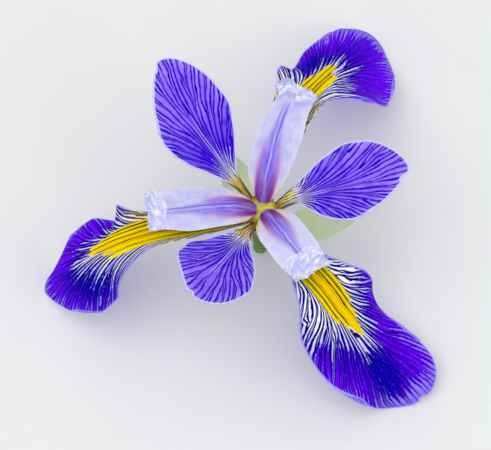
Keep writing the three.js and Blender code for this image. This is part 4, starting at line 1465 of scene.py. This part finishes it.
class IRIS_OT_stage(bpy.types.Operator):
    """Adds the floor, the soft lights and the camera at the photograph's angle"""

    bl_idname = "iris.add_stage"
    bl_label = "Add Stage"

    def execute(self, context):
        scene = context.scene
        scene.view_settings.view_transform = "Standard"
        self.add_floor(scene)
        self.add_lights(scene)
        self.add_camera(scene)
        return {"FINISHED"}

    def add_floor(self, scene):
        skin = Skin("floor")
        grain = skin.noise(skin.add("ShaderNodeTexCoord").outputs["Object"], 60.0, 3.0)
        ground = skin.mix(grain, srgb(232, 232, 228), srgb(236, 236, 233))
        skin.feed(skin.shader.inputs["Base Color"], ground)
        skin.shader.inputs["Roughness"].default_value = 0.9
        mesh = bpy.data.meshes.new("floor")
        corners = [(FLOOR_HALF * x, FLOOR_HALF * y, 0) for x, y in ((-1, -1), (1, -1), (1, 1), (-1, 1))]
        mesh.from_pydata(corners, [], [(0, 1, 2, 3)])
        mesh.materials.append(skin.material)
        floor = bpy.data.objects.new("floor", mesh)
        scene.collection.objects.link(floor)

    def add_lights(self, scene):
        scene.world = bpy.data.worlds.new("soft_daylight")
        scene.world.use_nodes = True
        background = scene.world.node_tree.nodes["Background"]
        background.inputs["Color"].default_value = SKY_COLOUR
        background.inputs["Strength"].default_value = SKY_STRENGTH
        for name, panel in PANELS.items():
            light = bpy.data.lights.new(name, "AREA")
            light.shape = "DISK"
            light.size = panel["size"]
            light.energy = panel["power"]
            lamp = bpy.data.objects.new(name, light)
            scene.collection.objects.link(lamp)
            lamp.location = Vector(panel["direction"]).normalized() * PANEL_DISTANCE
            lamp.rotation_euler = lamp.location.to_track_quat("Z", "Y").to_euler()

    def add_camera(self, scene):
        """The camera looks down on the flower, with the petals' junction where the photograph has it."""
        elevation = math.radians(CAMERA_ELEVATION)
        back = np.array([0, -math.cos(elevation), math.sin(elevation)])
        right = np.array([1.0, 0, 0])
        off_x = (JUNCTION_PIXEL[0] - FRAME_WIDTH / 2) * MM_PER_PIXEL
        off_y = (FRAME_HEIGHT / 2 - JUNCTION_PIXEL[1]) * MM_PER_PIXEL
        junction = np.array([AXIS_X, AXIS_Y, JUNCTION_HEIGHT + STALK_FOOT])
        aim = junction - right * off_x - np.cross(back, right) * off_y
        lens = bpy.data.cameras.new("camera")
        lens.sensor_fit = "HORIZONTAL"
        lens.sensor_width = SENSOR_WIDTH
        lens.lens = CAMERA_DISTANCE / (MM_PER_PIXEL * FRAME_WIDTH) * SENSOR_WIDTH
        lens.clip_start = NEAREST_IN_VIEW
        camera = bpy.data.objects.new("camera", lens)
        scene.collection.objects.link(camera)
        camera.location = tuple((aim + back * CAMERA_DISTANCE) * MM)
        camera.rotation_euler = (math.pi / 2 - elevation, 0, 0)
        scene.camera = camera


class IRIS_PT_panel(bpy.types.Panel):
    """Lists the flower's pieces and settings"""

    bl_idname = "IRIS_PT_panel"
    bl_label = "Blue Flag Iris"
    bl_space_type = "VIEW_3D"
    bl_region_type = "UI"
    bl_category = "Iris"

    def draw(self, context):
        layout = self.layout
        for operator in OPERATORS:
            layout.operator(operator.bl_idname)
        for group in (context.scene.iris_sizes, context.scene.iris_colours):
            box = layout.box()
            for name in group.__annotations__:
                box.prop(group, name, text=name.replace("_", " ").capitalize())


OPERATORS = (
    IRIS_OT_stage,
    IRIS_OT_falls,
    IRIS_OT_standards,
    IRIS_OT_style_arms,
    IRIS_OT_stamens,
    IRIS_OT_spathes,
    IRIS_OT_stalk,
)
CLASSES = (IrisSizes, IrisColours, *OPERATORS, IRIS_PT_panel)


def register():
    for item in CLASSES:
        bpy.utils.register_class(item)
    bpy.types.Scene.iris_sizes = PointerProperty(type=IrisSizes)
    bpy.types.Scene.iris_colours = PointerProperty(type=IrisColours)


def unregister():
    del bpy.types.Scene.iris_colours
    del bpy.types.Scene.iris_sizes
    for item in reversed(CLASSES):
        bpy.utils.unregister_class(item)


def main():
    register()
    bpy.ops.iris.add_stage()
    bpy.ops.iris.add_falls()
    bpy.ops.iris.add_standards()
    bpy.ops.iris.add_style_arms()
    bpy.ops.iris.add_stamens()
    bpy.ops.iris.add_spathes()
    bpy.ops.iris.add_stalk()


if __name__ == "__main__":
    main()
